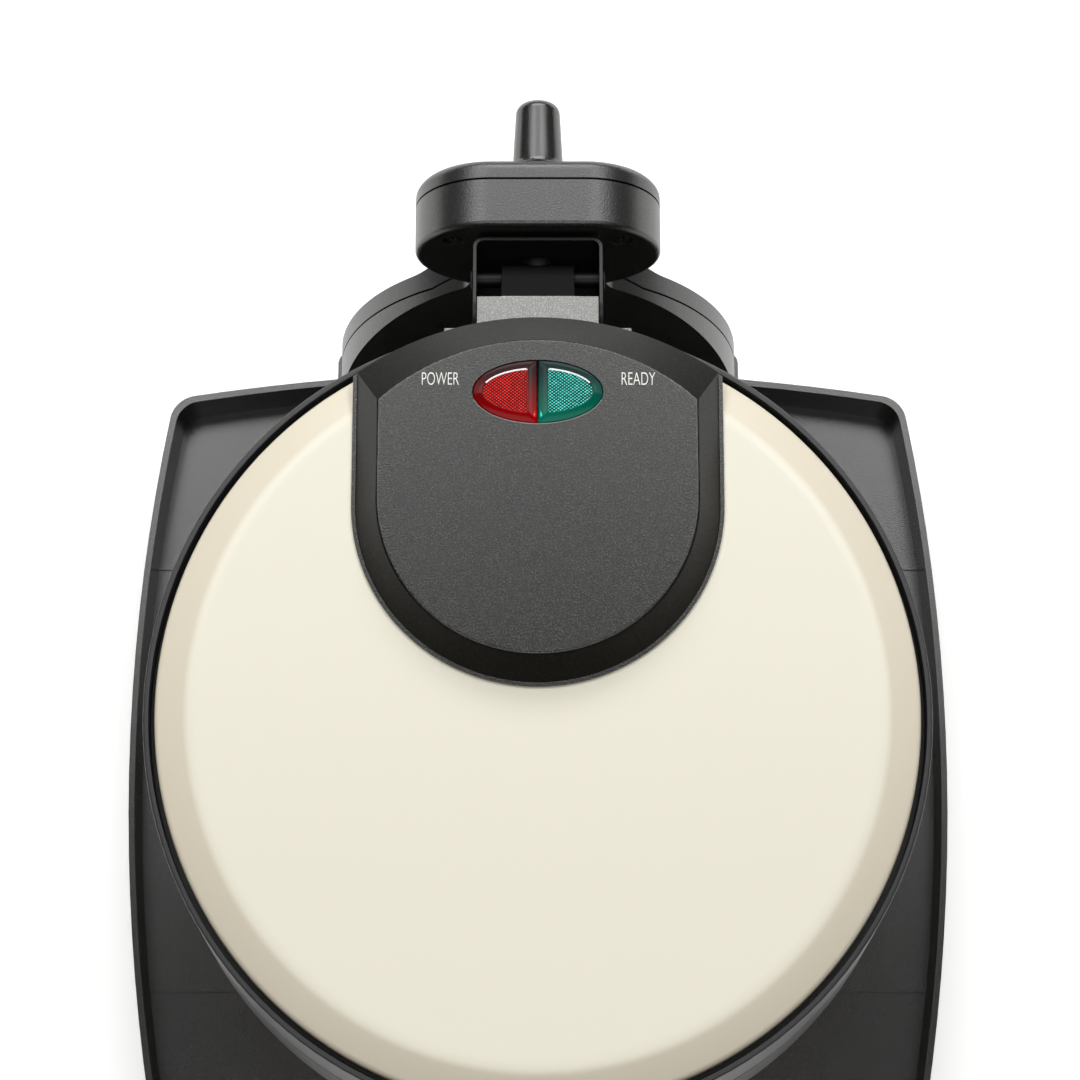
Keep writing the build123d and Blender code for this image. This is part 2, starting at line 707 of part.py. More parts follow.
def lens(side):
    """Half of the oval lens, on the left or on the right."""
    top = PANEL_TOP + LENS_PROUD
    body = lens_oval(0, top - LENS_DEPTH, top)
    body = fillet(level_edges(body, top), LENS_EDGE_ROUND)
    near = LENS_SPLIT / 2
    far = LENS_X + 1
    half = block(min(side * near, side * far), max(side * near, side * far), 0, RING_Y, 0, top + CUT)
    return upper(body & half)


def lamp_height():
    return PANEL_TOP + LENS_PROUD - LENS_DEPTH - FLOAT_GAP - LAMP_R


def lamp(side):
    """A small glow lamp lying under one half of the lens."""
    start = (side * LAMP_X, LENS_MIDDLE_Y - LAMP_LENGTH / 2, lamp_height())
    glass = bar(start, (0, 1, 0), LAMP_R, LAMP_LENGTH)
    rear = glass.edges().filter_by(GeomType.CIRCLE).sort_by(Axis.Y)[-1]
    return upper(fillet(rear, LAMP_R * 0.8))


def lamp_holder():
    """A plate under the lamps with a cradle for each, hung from two posts of the panel."""
    low = HOLDER_TOP - HOLDER_SHEET
    front = LENS_MIDDLE_Y - HOLDER_Y
    rear = LENS_MIDDLE_Y + HOLDER_Y
    plate = block(-HOLDER_X, HOLDER_X, front, rear, low, HOLDER_TOP)
    for side in (-1, 1):
        x = side * LAMP_X
        cradle_x = LAMP_R + HOLDER_CUP
        cradle = block(x - cradle_x, x + cradle_x, LENS_MIDDLE_Y - LAMP_LENGTH / 2,
                       LENS_MIDDLE_Y + LAMP_LENGTH / 2, HOLDER_TOP, lamp_height())
        seat = bar((x, LENS_MIDDLE_Y - LAMP_LENGTH, lamp_height()), (0, 1, 0), LAMP_R + SCREW_FIT,
                   2 * LAMP_LENGTH)
        plate = plate + cradle - seat
    return upper(plate)


def panel_screws():
    """Screws up through the cover into the panel's bosses."""
    top = COVER_TOP - COVER_SHEET - SCREW_HEAD
    return [upper(screw((x, y, top), (0, 0, 1), PANEL_SCREW_LENGTH)) for x, y in panel_boss_places()]


def clip_leaf(side, grow):
    """The level leaf of a clip, grown all round where it has to clear a slot."""
    x = side * CLIP_X
    half = CLIP_WIDTH / 2 + grow
    low = RING_TOP + SEAT_GAP
    edge = CLIP_EDGE + CLIP_SHEET
    return block(x - half, x + half, edge - CLIP_REACH, edge + grow, low - grow, low + CLIP_SHEET + grow)


def cover_clips():
    """Two sheet clips hooked over the ring, each with its leaf in a slot of the panel."""
    clips = []
    for side in (-1, 1):
        x = side * CLIP_X
        leg = block(x - CLIP_WIDTH / 2, x + CLIP_WIDTH / 2, CLIP_EDGE, CLIP_EDGE + CLIP_SHEET,
                    RING_TOP + SEAT_GAP - CLIP_DROP, RING_TOP + SEAT_GAP + CLIP_SHEET)
        clips.append(upper(clip_leaf(side, 0) + leg))
    return clips


# Hinge strap: a flat plate screwed to the lid, bent down and rolled round the hinge pin
def hinge_strap():
    low = STRAP_TOP - STRAP_SHEET
    half = STRAP_WIDTH / 2
    plate = block(-half, half, STRAP_FRONT, STRAP_BEND, low, STRAP_TOP)
    plate = fillet(plate.edges().filter_by(Axis.Z).group_by(Axis.Y)[0], STRAP_SHEET * 2)
    away_y = PIN_Y - STRAP_BEND
    away_z = PIN_Z - STRAP_TOP
    distance = math.hypot(away_y, away_z)
    turn = math.atan2(away_z, away_y) + math.asin(KNUCKLE_R / distance)
    run = math.sqrt(distance**2 - KNUCKLE_R**2)
    touch = (STRAP_BEND + run * math.cos(turn), STRAP_TOP + run * math.sin(turn))
    down = (math.sin(turn) * STRAP_SHEET, -math.cos(turn) * STRAP_SHEET)
    under = (touch[0] + down[0], touch[1] + down[1])
    start = (STRAP_BEND - STRAP_SHEET, low)
    outline = Polyline((STRAP_BEND - STRAP_SHEET, STRAP_TOP), (STRAP_BEND, STRAP_TOP), touch, under,
                       start, close=True)
    side = Plane(origin=(-KNUCKLE_WIDTH / 2, 0, 0), x_dir=(0, 1, 0), z_dir=(1, 0, 0))
    tongue = extrude(side * make_face(outline), KNUCKLE_WIDTH)
    knuckle = bar((-KNUCKLE_WIDTH / 2, PIN_Y, PIN_Z), (1, 0, 0), KNUCKLE_R, KNUCKLE_WIDTH)
    bore = bar((-half, PIN_Y, PIN_Z), (1, 0, 0), PIN_R + TURN_FIT, STRAP_WIDTH)
    strap = plate + tongue + knuckle - bore
    for x in STRAP_SCREW_X:
        strap -= bar((x, STRAP_SCREW_Y, STRAP_TOP), (0, 0, -1), SCREW_R + SCREW_FIT, STRAP_SHEET)
    return strap


def strap_screws():
    top = STRAP_TOP + SCREW_HEAD
    length = SCREW_HEAD + STRAP_SHEET + STRAP_SHELF - CUT
    return [screw((x, STRAP_SCREW_Y, top), (0, 0, -1), length) for x in STRAP_SCREW_X]


def hinge_pin():
    """The pin from cheek to cheek, spread to a low rivet head at both ends."""
    start = (-CHEEK_OUTSIDE - SEAT_GAP, PIN_Y, PIN_Z)
    span = 2 * (CHEEK_OUTSIDE + SEAT_GAP)
    pin = bar(start, (1, 0, 0), PIN_R, span)
    for side in (-1, 1):
        end = (side * (CHEEK_OUTSIDE + SEAT_GAP), PIN_Y, PIN_Z)
        head = bar(end, (side, 0, 0), PIN_HEAD_R, PIN_HEAD)
        pin += chamfer(head.edges().sort_by(Axis.X)[-1 if side > 0 else 0], PIN_HEAD / 2)
    return pin


# Bracket: one folded sheet with a rear web, two cheeks, a bottom web and a front plate
def hinge_bracket():
    outside = CHEEK_OUTSIDE
    inside = CHEEK_OUTSIDE - BRACKET_SHEET
    rear = WEB_FRONT + BRACKET_SHEET
    outer = block(-outside, outside, BRACKET_FRONT, rear, CHEEK_FOOT, CHEEK_TOP)
    outer = fillet(outer.edges().filter_by(Axis.Z).group_by(Axis.Y)[-1], FOLD_R)
    hollow = block(-inside, inside, BRACKET_FRONT - CUT, WEB_FRONT, CHEEK_FOOT, CHEEK_TOP)
    hollow = fillet(hollow.edges().filter_by(Axis.Z).group_by(Axis.Y)[-1], FOLD_R - BRACKET_SHEET)
    round_y = BRACKET_FRONT + CHEEK_CORNER
    round_z = CHEEK_TOP - CHEEK_CORNER
    corner = block(-outside, outside, BRACKET_FRONT, round_y, round_z, CHEEK_TOP)
    corner -= bar((-outside, round_y, round_z), (1, 0, 0), CHEEK_CORNER, 2 * outside)
    bracket = outer - hollow - corner
    web_top = CHEEK_FOOT + BRACKET_SHEET
    plate_rear = BRACKET_FRONT + BRACKET_SHEET
    bracket += block(-inside, inside, BRACKET_FRONT, WEB_FRONT, CHEEK_FOOT, web_top)
    bracket += block(-inside, inside, BRACKET_FRONT, plate_rear, CHEEK_FOOT, FRONT_PLATE_TOP)
    bracket -= bar((-outside, PIN_Y, PIN_Z), (1, 0, 0), PIN_R + TURN_FIT, 2 * outside)
    bracket -= bar((0, WEB_FRONT, AXIS_Z), (0, 1, 0), SHAFT_BORE_R, BRACKET_SHEET)
    bracket -= bar((0, BRACKET_FRONT, BRACKET_SCREW_Z), (0, 1, 0), WIRE_HOLE_R, BRACKET_SHEET)
    for side in (-1, 1):
        start = (side * BRACKET_SCREW_X, BRACKET_FRONT, BRACKET_SCREW_Z)
        bracket -= bar(start, (0, 1, 0), SCREW_R + SCREW_FIT, BRACKET_SHEET)
    return bracket


def bracket_screws():
    start_y = BRACKET_FRONT + BRACKET_SHEET + SCREW_HEAD
    length = start_y - RING_Y + LUG_HOLE - 1
    places = (-BRACKET_SCREW_X, BRACKET_SCREW_X)
    return [screw((x, start_y, BRACKET_SCREW_Z), (0, -1, 0), length) for x in places]


# Flip shaft with its bush, washer and nut, inside the head
SHAFT_START = WEB_FRONT + BRACKET_SHEET
BUSH_START = HEAD_FRONT + FLOAT_GAP
BUSH_END = BUSH_START + BUSH_LENGTH
NUT_START = BUSH_END + WASHER_THICK + 2 * SEAT_GAP
SHAFT_END = NUT_START + NUT_THICK


def flip_shaft():
    length = SHAFT_END - SHAFT_START
    return tube((0, SHAFT_START, AXIS_Z), (0, 1, 0), SHAFT_R, SHAFT_BORE_R, length)


def pivot_bush():
    outer = SHAFT_R + TURN_FIT + BUSH_WALL
    inner_face = HEAD_FRONT + COLUMN_WALL
    bush = bar((0, BUSH_START, AXIS_Z), (0, 1, 0), outer, BUSH_LENGTH)
    bush += bar((0, inner_face, AXIS_Z), (0, 1, 0), BUSH_FLANGE_R, BUSH_FLANGE)
    return bush - bar((0, BUSH_START, AXIS_Z), (0, 1, 0), SHAFT_R + TURN_FIT, BUSH_LENGTH)


def thrust_washer():
    start = (0, BUSH_END + SEAT_GAP, AXIS_Z)
    return tube(start, (0, 1, 0), BUSH_FLANGE_R - 1, SHAFT_R + SCREW_FIT, WASHER_THICK)


def shaft_nut():
    plane = Plane(origin=(0, NUT_START, AXIS_Z), z_dir=(0, 1, 0))
    hexagon = extrude(plane * RegularPolygon(NUT_ACROSS / 2, 6, major_radius=False), NUT_THICK)
    return hexagon - bar((0, NUT_START, AXIS_Z), (0, 1, 0), SHAFT_R + SCREW_FIT, NUT_THICK)


# Column: a dome below and a head above, each a front outline cut by a side profile
def dome_outline(inset):
    """Front view of the dome: half an ellipse on a short straight foot, with a neck up to the head."""
    half = DOME_HALF_WIDTH - inset
    crown = EllipticalCenterArc((0, DOME_CENTRE_Z), half, DOME_HEIGHT - inset, arc_size=180)
    foot = COLUMN_FOOT - (CUT if inset else 0)
    feet = Polyline((-half, DOME_CENTRE_Z), (-half, foot), (half, foot), (half, DOME_CENTRE_Z))
    dome = make_face(Wire([crown] + list(feet.edges())))
    neck_height = AXIS_Z - DOME_CENTRE_Z
    neck = Rectangle(2 * (NECK_HALF_WIDTH - inset), neck_height)
    return dome + Pos(0, DOME_CENTRE_Z + neck_height / 2) * neck


def head_outline(inset):
    """Front view of the head: a flat top with elliptical corners over half an ellipse."""
    half = HEAD_HALF_WIDTH - inset
    corner_x = HEAD_CORNER_X - inset
    corner_z = HEAD_TOP - AXIS_Z - inset
    middle = half - corner_x
    right = EllipticalCenterArc((middle, AXIS_Z), corner_x, corner_z, arc_size=90)
    top = Line((middle, AXIS_Z + corner_z), (-middle, AXIS_Z + corner_z))
    left = EllipticalCenterArc((-middle, AXIS_Z), corner_x, corner_z, 90, arc_size=90)
    under = EllipticalCenterArc((0, AXIS_Z), half, HEAD_DROP - inset, 180, arc_size=180)
    return make_face(Wire([right, top, left, under]))


def dome_profile(inset):
    """Side view of the dome: it leans back in front and swells to the rear under the head."""
    low = COLUMN_FOOT - 2 * CUT
    top = HEAD_TOP
    points = [
        (COLUMN_FRONT_FOOT + inset, COLUMN_LEAN_START),
        (COLUMN_FRONT_NECK + inset, COLUMN_LEAN_END),
        (COLUMN_REAR - inset, COLUMN_REAR_KNEE),
        (HEAD_REAR - inset, COLUMN_REAR_NECK),
    ]
    outline = [
        (COLUMN_FRONT_FOOT + inset, low),
        points[0],
        points[1],
        (COLUMN_FRONT_NECK + inset, top),
        (HEAD_REAR - inset, top),
        points[3],
        points[2],
        (COLUMN_REAR - inset, low),
    ]
    face = make_face(Polyline(*outline, close=True))
    knees = [face.vertices().sort_by_distance((y, z, 0))[0] for y, z in points]
    return fillet(knees, PROFILE_ROUND)


SIDE_VIEW = Plane(origin=(-DOME_HALF_WIDTH - CUT, 0, 0), x_dir=(0, 1, 0), z_dir=(1, 0, 0))
SIDE_DEPTH = 2 * (DOME_HALF_WIDTH + CUT)


def front_view(y):
    """Plane of a front view at a distance back, drawn with x to the right and z upwards."""
    return Plane(origin=(0, y, 0), x_dir=(1, 0, 0), z_dir=(0, -1, 0))


def dome_block(inset):
    depth = HEAD_REAR - COLUMN_FRONT_FOOT + 2 * CUT
    slab = extrude(front_view(HEAD_REAR + CUT) * dome_outline(inset), depth)
    if inset == 0:
        along = slab.edges().filter_by(Axis.Y)
        knees = along.filter_by_position(Axis.Z, DOME_CENTRE_Z + DOME_HEIGHT / 2, AXIS_Z - CUT)
        slab = fillet(knees, NECK_ROUND)
    return slab & extrude(SIDE_VIEW * dome_profile(inset), SIDE_DEPTH)


def head_block(inset):
    depth = HEAD_REAR - HEAD_FRONT - 2 * inset
    return extrude(front_view(HEAD_REAR - inset) * head_outline(inset), depth)


def column_block():
    """Outside of the column, with its front and rear edges rounded."""
    head = head_block(0)
    front_edges = head.faces().sort_by(Axis.Y)[0].edges()
    head = fillet(front_edges, COLUMN_FRONT_ROUND)
    rear_edges = head.faces().sort_by(Axis.Y)[-1].edges()
    head = fillet(rear_edges, COLUMN_REAR_ROUND)
    return dome_block(0) + head


def column_hollow():
    return dome_block(COLUMN_WALL) + head_block(COLUMN_WALL)


def seam_front():
    """Everything in front of the seam between the column's two shells."""
    near = COLUMN_FRONT_FOOT - 10
    outline = [
        (near, 0),
        (near, HEAD_TOP + 5),
        (SEAM_HEAD, HEAD_TOP + 5),
        (SEAM_HEAD, SEAM_NECK),
        (SEAM_FOOT, SEAM_KNEE),
        (SEAM_FOOT, 0),
    ]
    face = make_face(Polyline(*outline, close=True))
    return extrude(SIDE_VIEW * face, SIDE_DEPTH)


def column_bosses():
    """Bosses in the foot of the front shell for the screws from below, each with a web to the wall."""
    bosses = []
    for x in COLUMN_SCREW_X:
        boss = bar((x, COLUMN_SCREW_Y, COLUMN_FOOT), (0, 0, 1), BOSS_R, COLUMN_BOSS)
        web = block(x - BOSS_WEB / 2, x + BOSS_WEB / 2, COLUMN_FRONT_FOOT, COLUMN_SCREW_Y, COLUMN_FOOT,
                    COLUMN_FOOT + COLUMN_BOSS)
        bosses.append(boss + web)
    return bosses


def rear_bosses():
    """Two bosses that run forward from the rear shell in the head."""
    inside = HEAD_REAR - COLUMN_WALL
    front = HEAD_FRONT + HEAD_SCREW_SINK + COLUMN_WALL
    places = [(side * HEAD_SCREW_X, front, HEAD_SCREW_Z) for side in (-1, 1)]
    return [bar(place, (0, 1, 0), BOSS_R, inside - front) for place in places]


def column_front():
    block_form = column_block()
    hollow = column_hollow()
    shell = (block_form - hollow) & seam_front()
    inside = block_form & seam_front()
    shell += [boss & inside for boss in column_bosses()]
    for side in (-1, 1):
        at = (side * HEAD_SCREW_X, HEAD_FRONT, HEAD_SCREW_Z)
        well = bar(at, (0, 1, 0), BOSS_R, HEAD_SCREW_SINK + COLUMN_WALL)
        shell += well & inside
        shell -= bar(at, (0, 1, 0), SCREW_HEAD_R + SCREW_FIT, HEAD_SCREW_SINK)
        shell -= bar(at, (0, 1, 0), SCREW_R + SCREW_FIT, HEAD_REAR - HEAD_FRONT)
        at = (side * COVER_SCREW_X, COLUMN_FRONT_FOOT, COVER_SCREW_Z)
        shell += bar(at, (0, 1, 0), BOSS_R, COLUMN_REAR) & inside
        at = (side * COVER_SCREW_X, COVER_HOLE_START, COVER_SCREW_Z)
        shell -= bar(at, (0, 1, 0), SCREW_R + SCREW_FIT, COLUMN_REAR)
    for x in COLUMN_SCREW_X:
        shell -= bar((x, COLUMN_SCREW_Y, COLUMN_FOOT - CUT), (0, 0, 1), SCREW_R + SCREW_FIT, COLUMN_BOSS)
    bush_hole = SHAFT_R + TURN_FIT + BUSH_WALL + SCREW_FIT
    return shell - bar((0, HEAD_FRONT, AXIS_Z), (0, 1, 0), bush_hole, COLUMN_WALL)


def column_rear_cover():
    hollow = column_hollow()
    shell = column_block() - hollow - seam_front()
    shell += rear_bosses()
    for side in (-1, 1):
        at = (side * HEAD_SCREW_X, HEAD_FRONT, HEAD_SCREW_Z)
        shell -= bar(at, (0, 1, 0), SCREW_R + SCREW_FIT, HEAD_REAR - COLUMN_WALL - HEAD_FRONT)
        at = (side * COVER_SCREW_X, SEAM_FOOT, COVER_SCREW_Z)
        shell -= bar(at, (0, 1, 0), SCREW_R + SCREW_FIT, COLUMN_REAR)
    shell -= bar((0, SEAM_HEAD, POST_Z), (0, 1, 0), POST_SPIGOT_R + SEAT_GAP, POST_REACH)
    return shell - bar((0, SEAM_FOOT, GLAND_Z), (0, 1, 0), GLAND_R + SEAT_GAP, COLUMN_REAR)


def storage_post():
    """Tapered post with a flared root, a rounded tip and a spigot through the rear shell."""
    tip = POST_REACH - HEAD_REAR
    round_tip = POST_TIP_R * 0.55
    outline = [
        (0, 0),
        (POST_FLARE_R, 0),
        (POST_ROOT_R + 0.6, POST_FLARE * 0.5),
        (POST_ROOT_R, POST_FLARE),
        (POST_TIP_R, tip),
        (0, tip),
    ]
    face = make_face(Polyline(*outline, close=True))
    corner = face.vertices().sort_by_distance((POST_TIP_R, tip, 0))[0]
    face = fillet(corner, round_tip)
    body = revolve(Plane.XZ * face, Axis.Z)
    placed = Plane(origin=(0, HEAD_REAR, POST_Z), x_dir=(1, 0, 0), z_dir=(0, 1, 0)) * body
    return placed + bar((0, HEAD_REAR - COLUMN_WALL, POST_Z), (0, 1, 0), POST_SPIGOT_R, COLUMN_WALL)


def head_screws():
    start_y = HEAD_FRONT + HEAD_SCREW_SINK - SCREW_HEAD
    places = (-HEAD_SCREW_X, HEAD_SCREW_X)
    return [screw((x, start_y, HEAD_SCREW_Z), (0, 1, 0), HEAD_SCREW_LENGTH) for x in places]


def rear_cover_screws():
    start_y = COLUMN_REAR + SCREW_HEAD
    places = (-COVER_SCREW_X, COVER_SCREW_X)
    return [screw((x, start_y, COVER_SCREW_Z), (0, -1, 0), SCREW_HEAD + 10.0) for x in places]


def column_screws():
    start_z = COLUMN_FOOT - BASE_FLOOR_THICK - SCREW_HEAD
    length = SCREW_HEAD + BASE_FLOOR_THICK + COLUMN_BOSS - 3
    return [screw((x, COLUMN_SCREW_Y, start_z), (0, 0, 1), length) for x in COLUMN_SCREW_X]


# Drip base: bowed sides, a drafted wall, a tray, a pedestal under the column and ribs underneath
def base_outline(inset):
    corner_x = BASE_CORNER_X - inset
    corner_y = BASE_CORNER_Y - inset
    half_x = BASE_HALF_WIDTH - inset
    half_y = BASE_HALF_DEPTH - inset
    right = ThreePointArc((corner_x, -corner_y), (half_x, 0), (corner_x, corner_y))
    rear = ThreePointArc((corner_x, corner_y), (0, half_y), (-corner_x, corner_y))
    left = ThreePointArc((-corner_x, corner_y), (-half_x, 0), (-corner_x, -corner_y))
    front = ThreePointArc((-corner_x, -corner_y), (0, -half_y), (corner_x, -corner_y))
    face = make_face(Wire([right, rear, left, front]))
    return Pos(0, BASE_MIDDLE) * fillet(face.vertices(), BASE_CORNER_ROUND - inset / 2)


def base_loft(inset, low, high):
    """A drafted block of the base's outline, narrower towards its foot."""
    foot = base_outline(inset + (BASE_RIM - low) * BASE_DRAFT)
    top = base_outline(inset + (BASE_RIM - high) * BASE_DRAFT)
    return loft([Pos(0, 0, low) * foot, Pos(0, 0, high) * top], ruled=True)


PEDESTAL_X = DOME_HALF_WIDTH + PEDESTAL_MARGIN
PEDESTAL_FRONT = COLUMN_FRONT_FOOT - PEDESTAL_MARGIN
PEDESTAL_REAR = COLUMN_REAR + PEDESTAL_MARGIN


def pedestal():
    """A raised block at the rear that the column stands on."""
    body = block(-PEDESTAL_X, PEDESTAL_X, PEDESTAL_FRONT - 8, PEDESTAL_REAR, BASE_FOOT, COLUMN_FOOT)
    return fillet(body.edges().filter_by(Axis.Z).group_by(Axis.Y)[-1], BASE_CORNER_ROUND / 2)


def foot_places():
    return [(sx * FOOT_X, BASE_MIDDLE + sy * FOOT_Y) for sx in (-1, 1) for sy in (-1, 1)]


def base_underside():
    """The hollow below the tray's floor, with ribs left standing in it."""
    ceiling = BASE_FLOOR - BASE_FLOOR_THICK
    hollow = base_loft(BASE_WALL, BASE_FOOT - CUT, ceiling)
    well_x = PEDESTAL_X - BASE_WALL
    well_rear = PEDESTAL_REAR - BASE_WALL
    well_top = COLUMN_FOOT - BASE_FLOOR_THICK
    well = block(-well_x, well_x, PEDESTAL_FRONT, well_rear, BASE_FOOT - CUT, well_top)
    hollow -= block(-PEDESTAL_X, PEDESTAL_X, PEDESTAL_FRONT - BASE_WALL, PEDESTAL_REAR, 0, BASE_RIM)
    half = UNDER_RIB / 2
    for x in UNDER_RIB_X:
        hollow -= block(x - half, x + half, -RING_X, PEDESTAL_FRONT, BASE_FOOT, ceiling)
    for y in UNDER_RIB_Y:
        hollow -= block(-BASE_HALF_WIDTH, BASE_HALF_WIDTH, y - half, y + half, BASE_FOOT, ceiling)
    for x, y in foot_places():
        hollow -= bar((x, y, BASE_FOOT - CUT), (0, 0, 1), FOOT_PLUG_R + FOOT_BOSS_WALL, ceiling)
    return hollow + well


def base_tray():
    body = base_loft(0, BASE_FOOT, BASE_RIM) + pedestal()
    body -= base_loft(BASE_WALL, BASE_FLOOR, BASE_RIM + CUT)
    for y in (CROSS_RIB_FRONT, CROSS_RIB_REAR):
        rib = block(-BASE_HALF_WIDTH, BASE_HALF_WIDTH, y - CROSS_RIB_WIDTH / 2, y + CROSS_RIB_WIDTH / 2,
                    BASE_FLOOR - 0.5, BASE_FLOOR + CROSS_RIB_HEIGHT)
        body += rib & base_loft(BASE_WALL / 2, BASE_FLOOR - CUT, BASE_RIM)
    clear = DOME_HALF_WIDTH + FLOAT_GAP
    front = COLUMN_FRONT_FOOT - FLOAT_GAP
    body -= block(-clear, clear, front, PEDESTAL_REAR + CUT, COLUMN_FOOT, BASE_RIM + CUT)
    body -= base_underside()
    for x, y in foot_places():
        body -= bar((x, y, BASE_FOOT - CUT), (0, 0, 1), FOOT_PLUG_R + SEAT_GAP, FOOT_PLUG + 1 + SEAT_GAP)
    for x in COLUMN_SCREW_X:
        body -= bar((x, COLUMN_SCREW_Y, BASE_FOOT), (0, 0, 1), SCREW_R + SCREW_FIT, BASE_RIM)
    return body


def rubber_feet():
    feet = []
    for x, y in foot_places():
        pad = bar((x, y, 0), (0, 0, 1), FOOT_R, BASE_FOOT)
        pad = chamfer(level_edges(pad, 0), BASE_FOOT / 4)
        feet.append(pad + bar((x, y, BASE_FOOT), (0, 0, 1), FOOT_PLUG_R, FOOT_PLUG))
    return feet


def bottom_plate():
    """A sheet that closes the well under the column."""
    x = PEDESTAL_X - BASE_WALL - SEAT_GAP
    front = PEDESTAL_FRONT + SEAT_GAP
    rear = PEDESTAL_REAR - BASE_WALL - SEAT_GAP
    return block(-x, x, front, rear, BASE_FOOT + SEAT_GAP, BASE_FOOT + SEAT_GAP + BOTTOM_PLATE)


def terminal_block():
    """A three-way block on the inside of the rear shell."""
    rear = COLUMN_REAR - COLUMN_WALL
    half = TERMINAL_WIDTH / 2
    body = block(-half, half, rear - TERMINAL_DEPTH, rear, TERMINAL_Z - TERMINAL_HEIGHT / 2,
                 TERMINAL_Z + TERMINAL_HEIGHT / 2)
    pitch = TERMINAL_WIDTH / TERMINAL_WAYS
    for way in range(TERMINAL_WAYS):
        x = -half + pitch * (way + 0.5)
        at = (x, rear - TERMINAL_DEPTH, TERMINAL_Z)
        body -= bar(at, (0, 1, 0), TERMINAL_HOLE_R, TERMINAL_DEPTH / 2)
    return body


def cord_gland():
    """A flanged bush in the rear shell with a bore for a mains cord."""
    start = (0, COLUMN_REAR - COLUMN_WALL - GLAND_INSIDE, GLAND_Z)
    through = COLUMN_WALL + GLAND_INSIDE
    gland = bar(start, (0, 1, 0), GLAND_R, through)
    flange = bar((0, COLUMN_REAR, GLAND_Z), (0, 1, 0), GLAND_FLANGE_R, GLAND_FLANGE)
    flange = chamfer(flange.edges().filter_by(GeomType.CIRCLE).sort_by(Axis.Y)[-1], GLAND_FLANGE / 3)
    return gland + flange - bar(start, (0, 1, 0), GLAND_BORE_R, through + GLAND_FLANGE)


# Handles: half sections lofted from the ring to the tip
def handle_section(reach, half_width, height):
    """Half of the handle's cross section at one distance from the middle."""
    low = HANDLE_GAP
    plane = Plane(origin=(0, -reach, (low + height) / 2), x_dir=(1, 0, 0), z_dir=(0, -1, 0))
    section = Rectangle(2 * half_width, height - low)
    tops = section.vertices().sort_by(Axis.Y)[-2:]
    return plane * fillet(tops, HANDLE_ROUND)


def handle_half():
    body = loft([handle_section(*row) for row in HANDLE_SECTIONS])
    body -= oval(RING_X + SEAT_GAP, RING_Y + SEAT_GAP, 0, RING_TOP)
    for side in (-1, 1):
        start = (side * HANDLE_SCREW_X, 0, HANDLE_SCREW_H)
        body -= bar(start, (0, -1, 0), SCREW_R + SCREW_FIT, RING_Y + HANDLE_SCREW_LENGTH - 4)
    return body


def handle_screws():
    across = (HANDLE_SCREW_X + SCREW_HEAD_R) / (RING_X - RING_WALL)
    start_y = SCREW_HEAD - (RING_Y - RING_WALL) * math.sqrt(1 - across**2)
    places = (-HANDLE_SCREW_X, HANDLE_SCREW_X)
    return [screw((x, start_y, HANDLE_SCREW_H), (0, -1, 0), HANDLE_SCREW_LENGTH) for x in places]


BAIL_HALF = HANDLE_SECTIONS[4][1] + BAIL_SIDE_GAP + BAIL_WIRE_R


def upper_handle():
    body = handle_half()
    for side in (-1, 1):
        start = (side * (BAIL_HALF + 1), BAIL_Y, BAIL_H)
        depth = BAIL_HALF + 1 - HANDLE_SECTIONS[4][1] + BAIL_HOLE_DEPTH
        body -= bar(start, (-side, 0, 0), BAIL_WIRE_R + TURN_FIT, depth)
    return upper(body)


def lower_handle():
    """The tip is cut to an arc about the bail's pivot, so that the bail closes round it."""
    body = lower(handle_half())
    tip = block(-HANDLE_REACH, HANDLE_REACH, -HANDLE_REACH - CUT, BAIL_Y, 0, AXIS_Z)
    arc = bar((-HANDLE_REACH, BAIL_Y, AXIS_Z + BAIL_H), (1, 0, 0), BAIL_TIP_R, 2 * HANDLE_REACH)
    return body - (tip - arc)


def latch_bail():
    """A wire loop whose bent-in ends turn in the upper handle."""
    angle = math.radians(BAIL_REST_ANGLE)
    far_y = BAIL_Y + BAIL_REACH * math.cos(angle)
    far_z = BAIL_H + BAIL_REACH * math.sin(angle)
    end = HANDLE_SECTIONS[4][1] - BAIL_HOLE_DEPTH + FLOAT_GAP
    points = [
        (-end, BAIL_Y, BAIL_H),
        (-BAIL_HALF, BAIL_Y, BAIL_H),
        (-BAIL_HALF, far_y, far_z),
        (BAIL_HALF, far_y, far_z),
        (BAIL_HALF, BAIL_Y, BAIL_H),
        (end, BAIL_Y, BAIL_H),
    ]
    path = FilletPolyline(*points, radius=BAIL_BEND_R)
    section = Plane(origin=path @ 0, z_dir=path % 0) * Circle(BAIL_WIRE_R)
    return upper(sweep(section, path=path))


def write_stand():
    write("base_tray", base_tray())
    write("column_front", column_front())
    write("column_rear_cover", column_rear_cover())
    write("storage_post", storage_post())
    write("pivot_bush", pivot_bush())
    write("rubber_feet", Compound(rubber_feet()))
    write("column_screws", Compound(column_screws()))
    write("head_screws", Compound(head_screws()))
    write("rear_cover_screws", Compound(rear_cover_screws()))
    write("cord_gland", cord_gland())
    write("terminal_block", terminal_block())
    write("bottom_plate", bottom_plate())


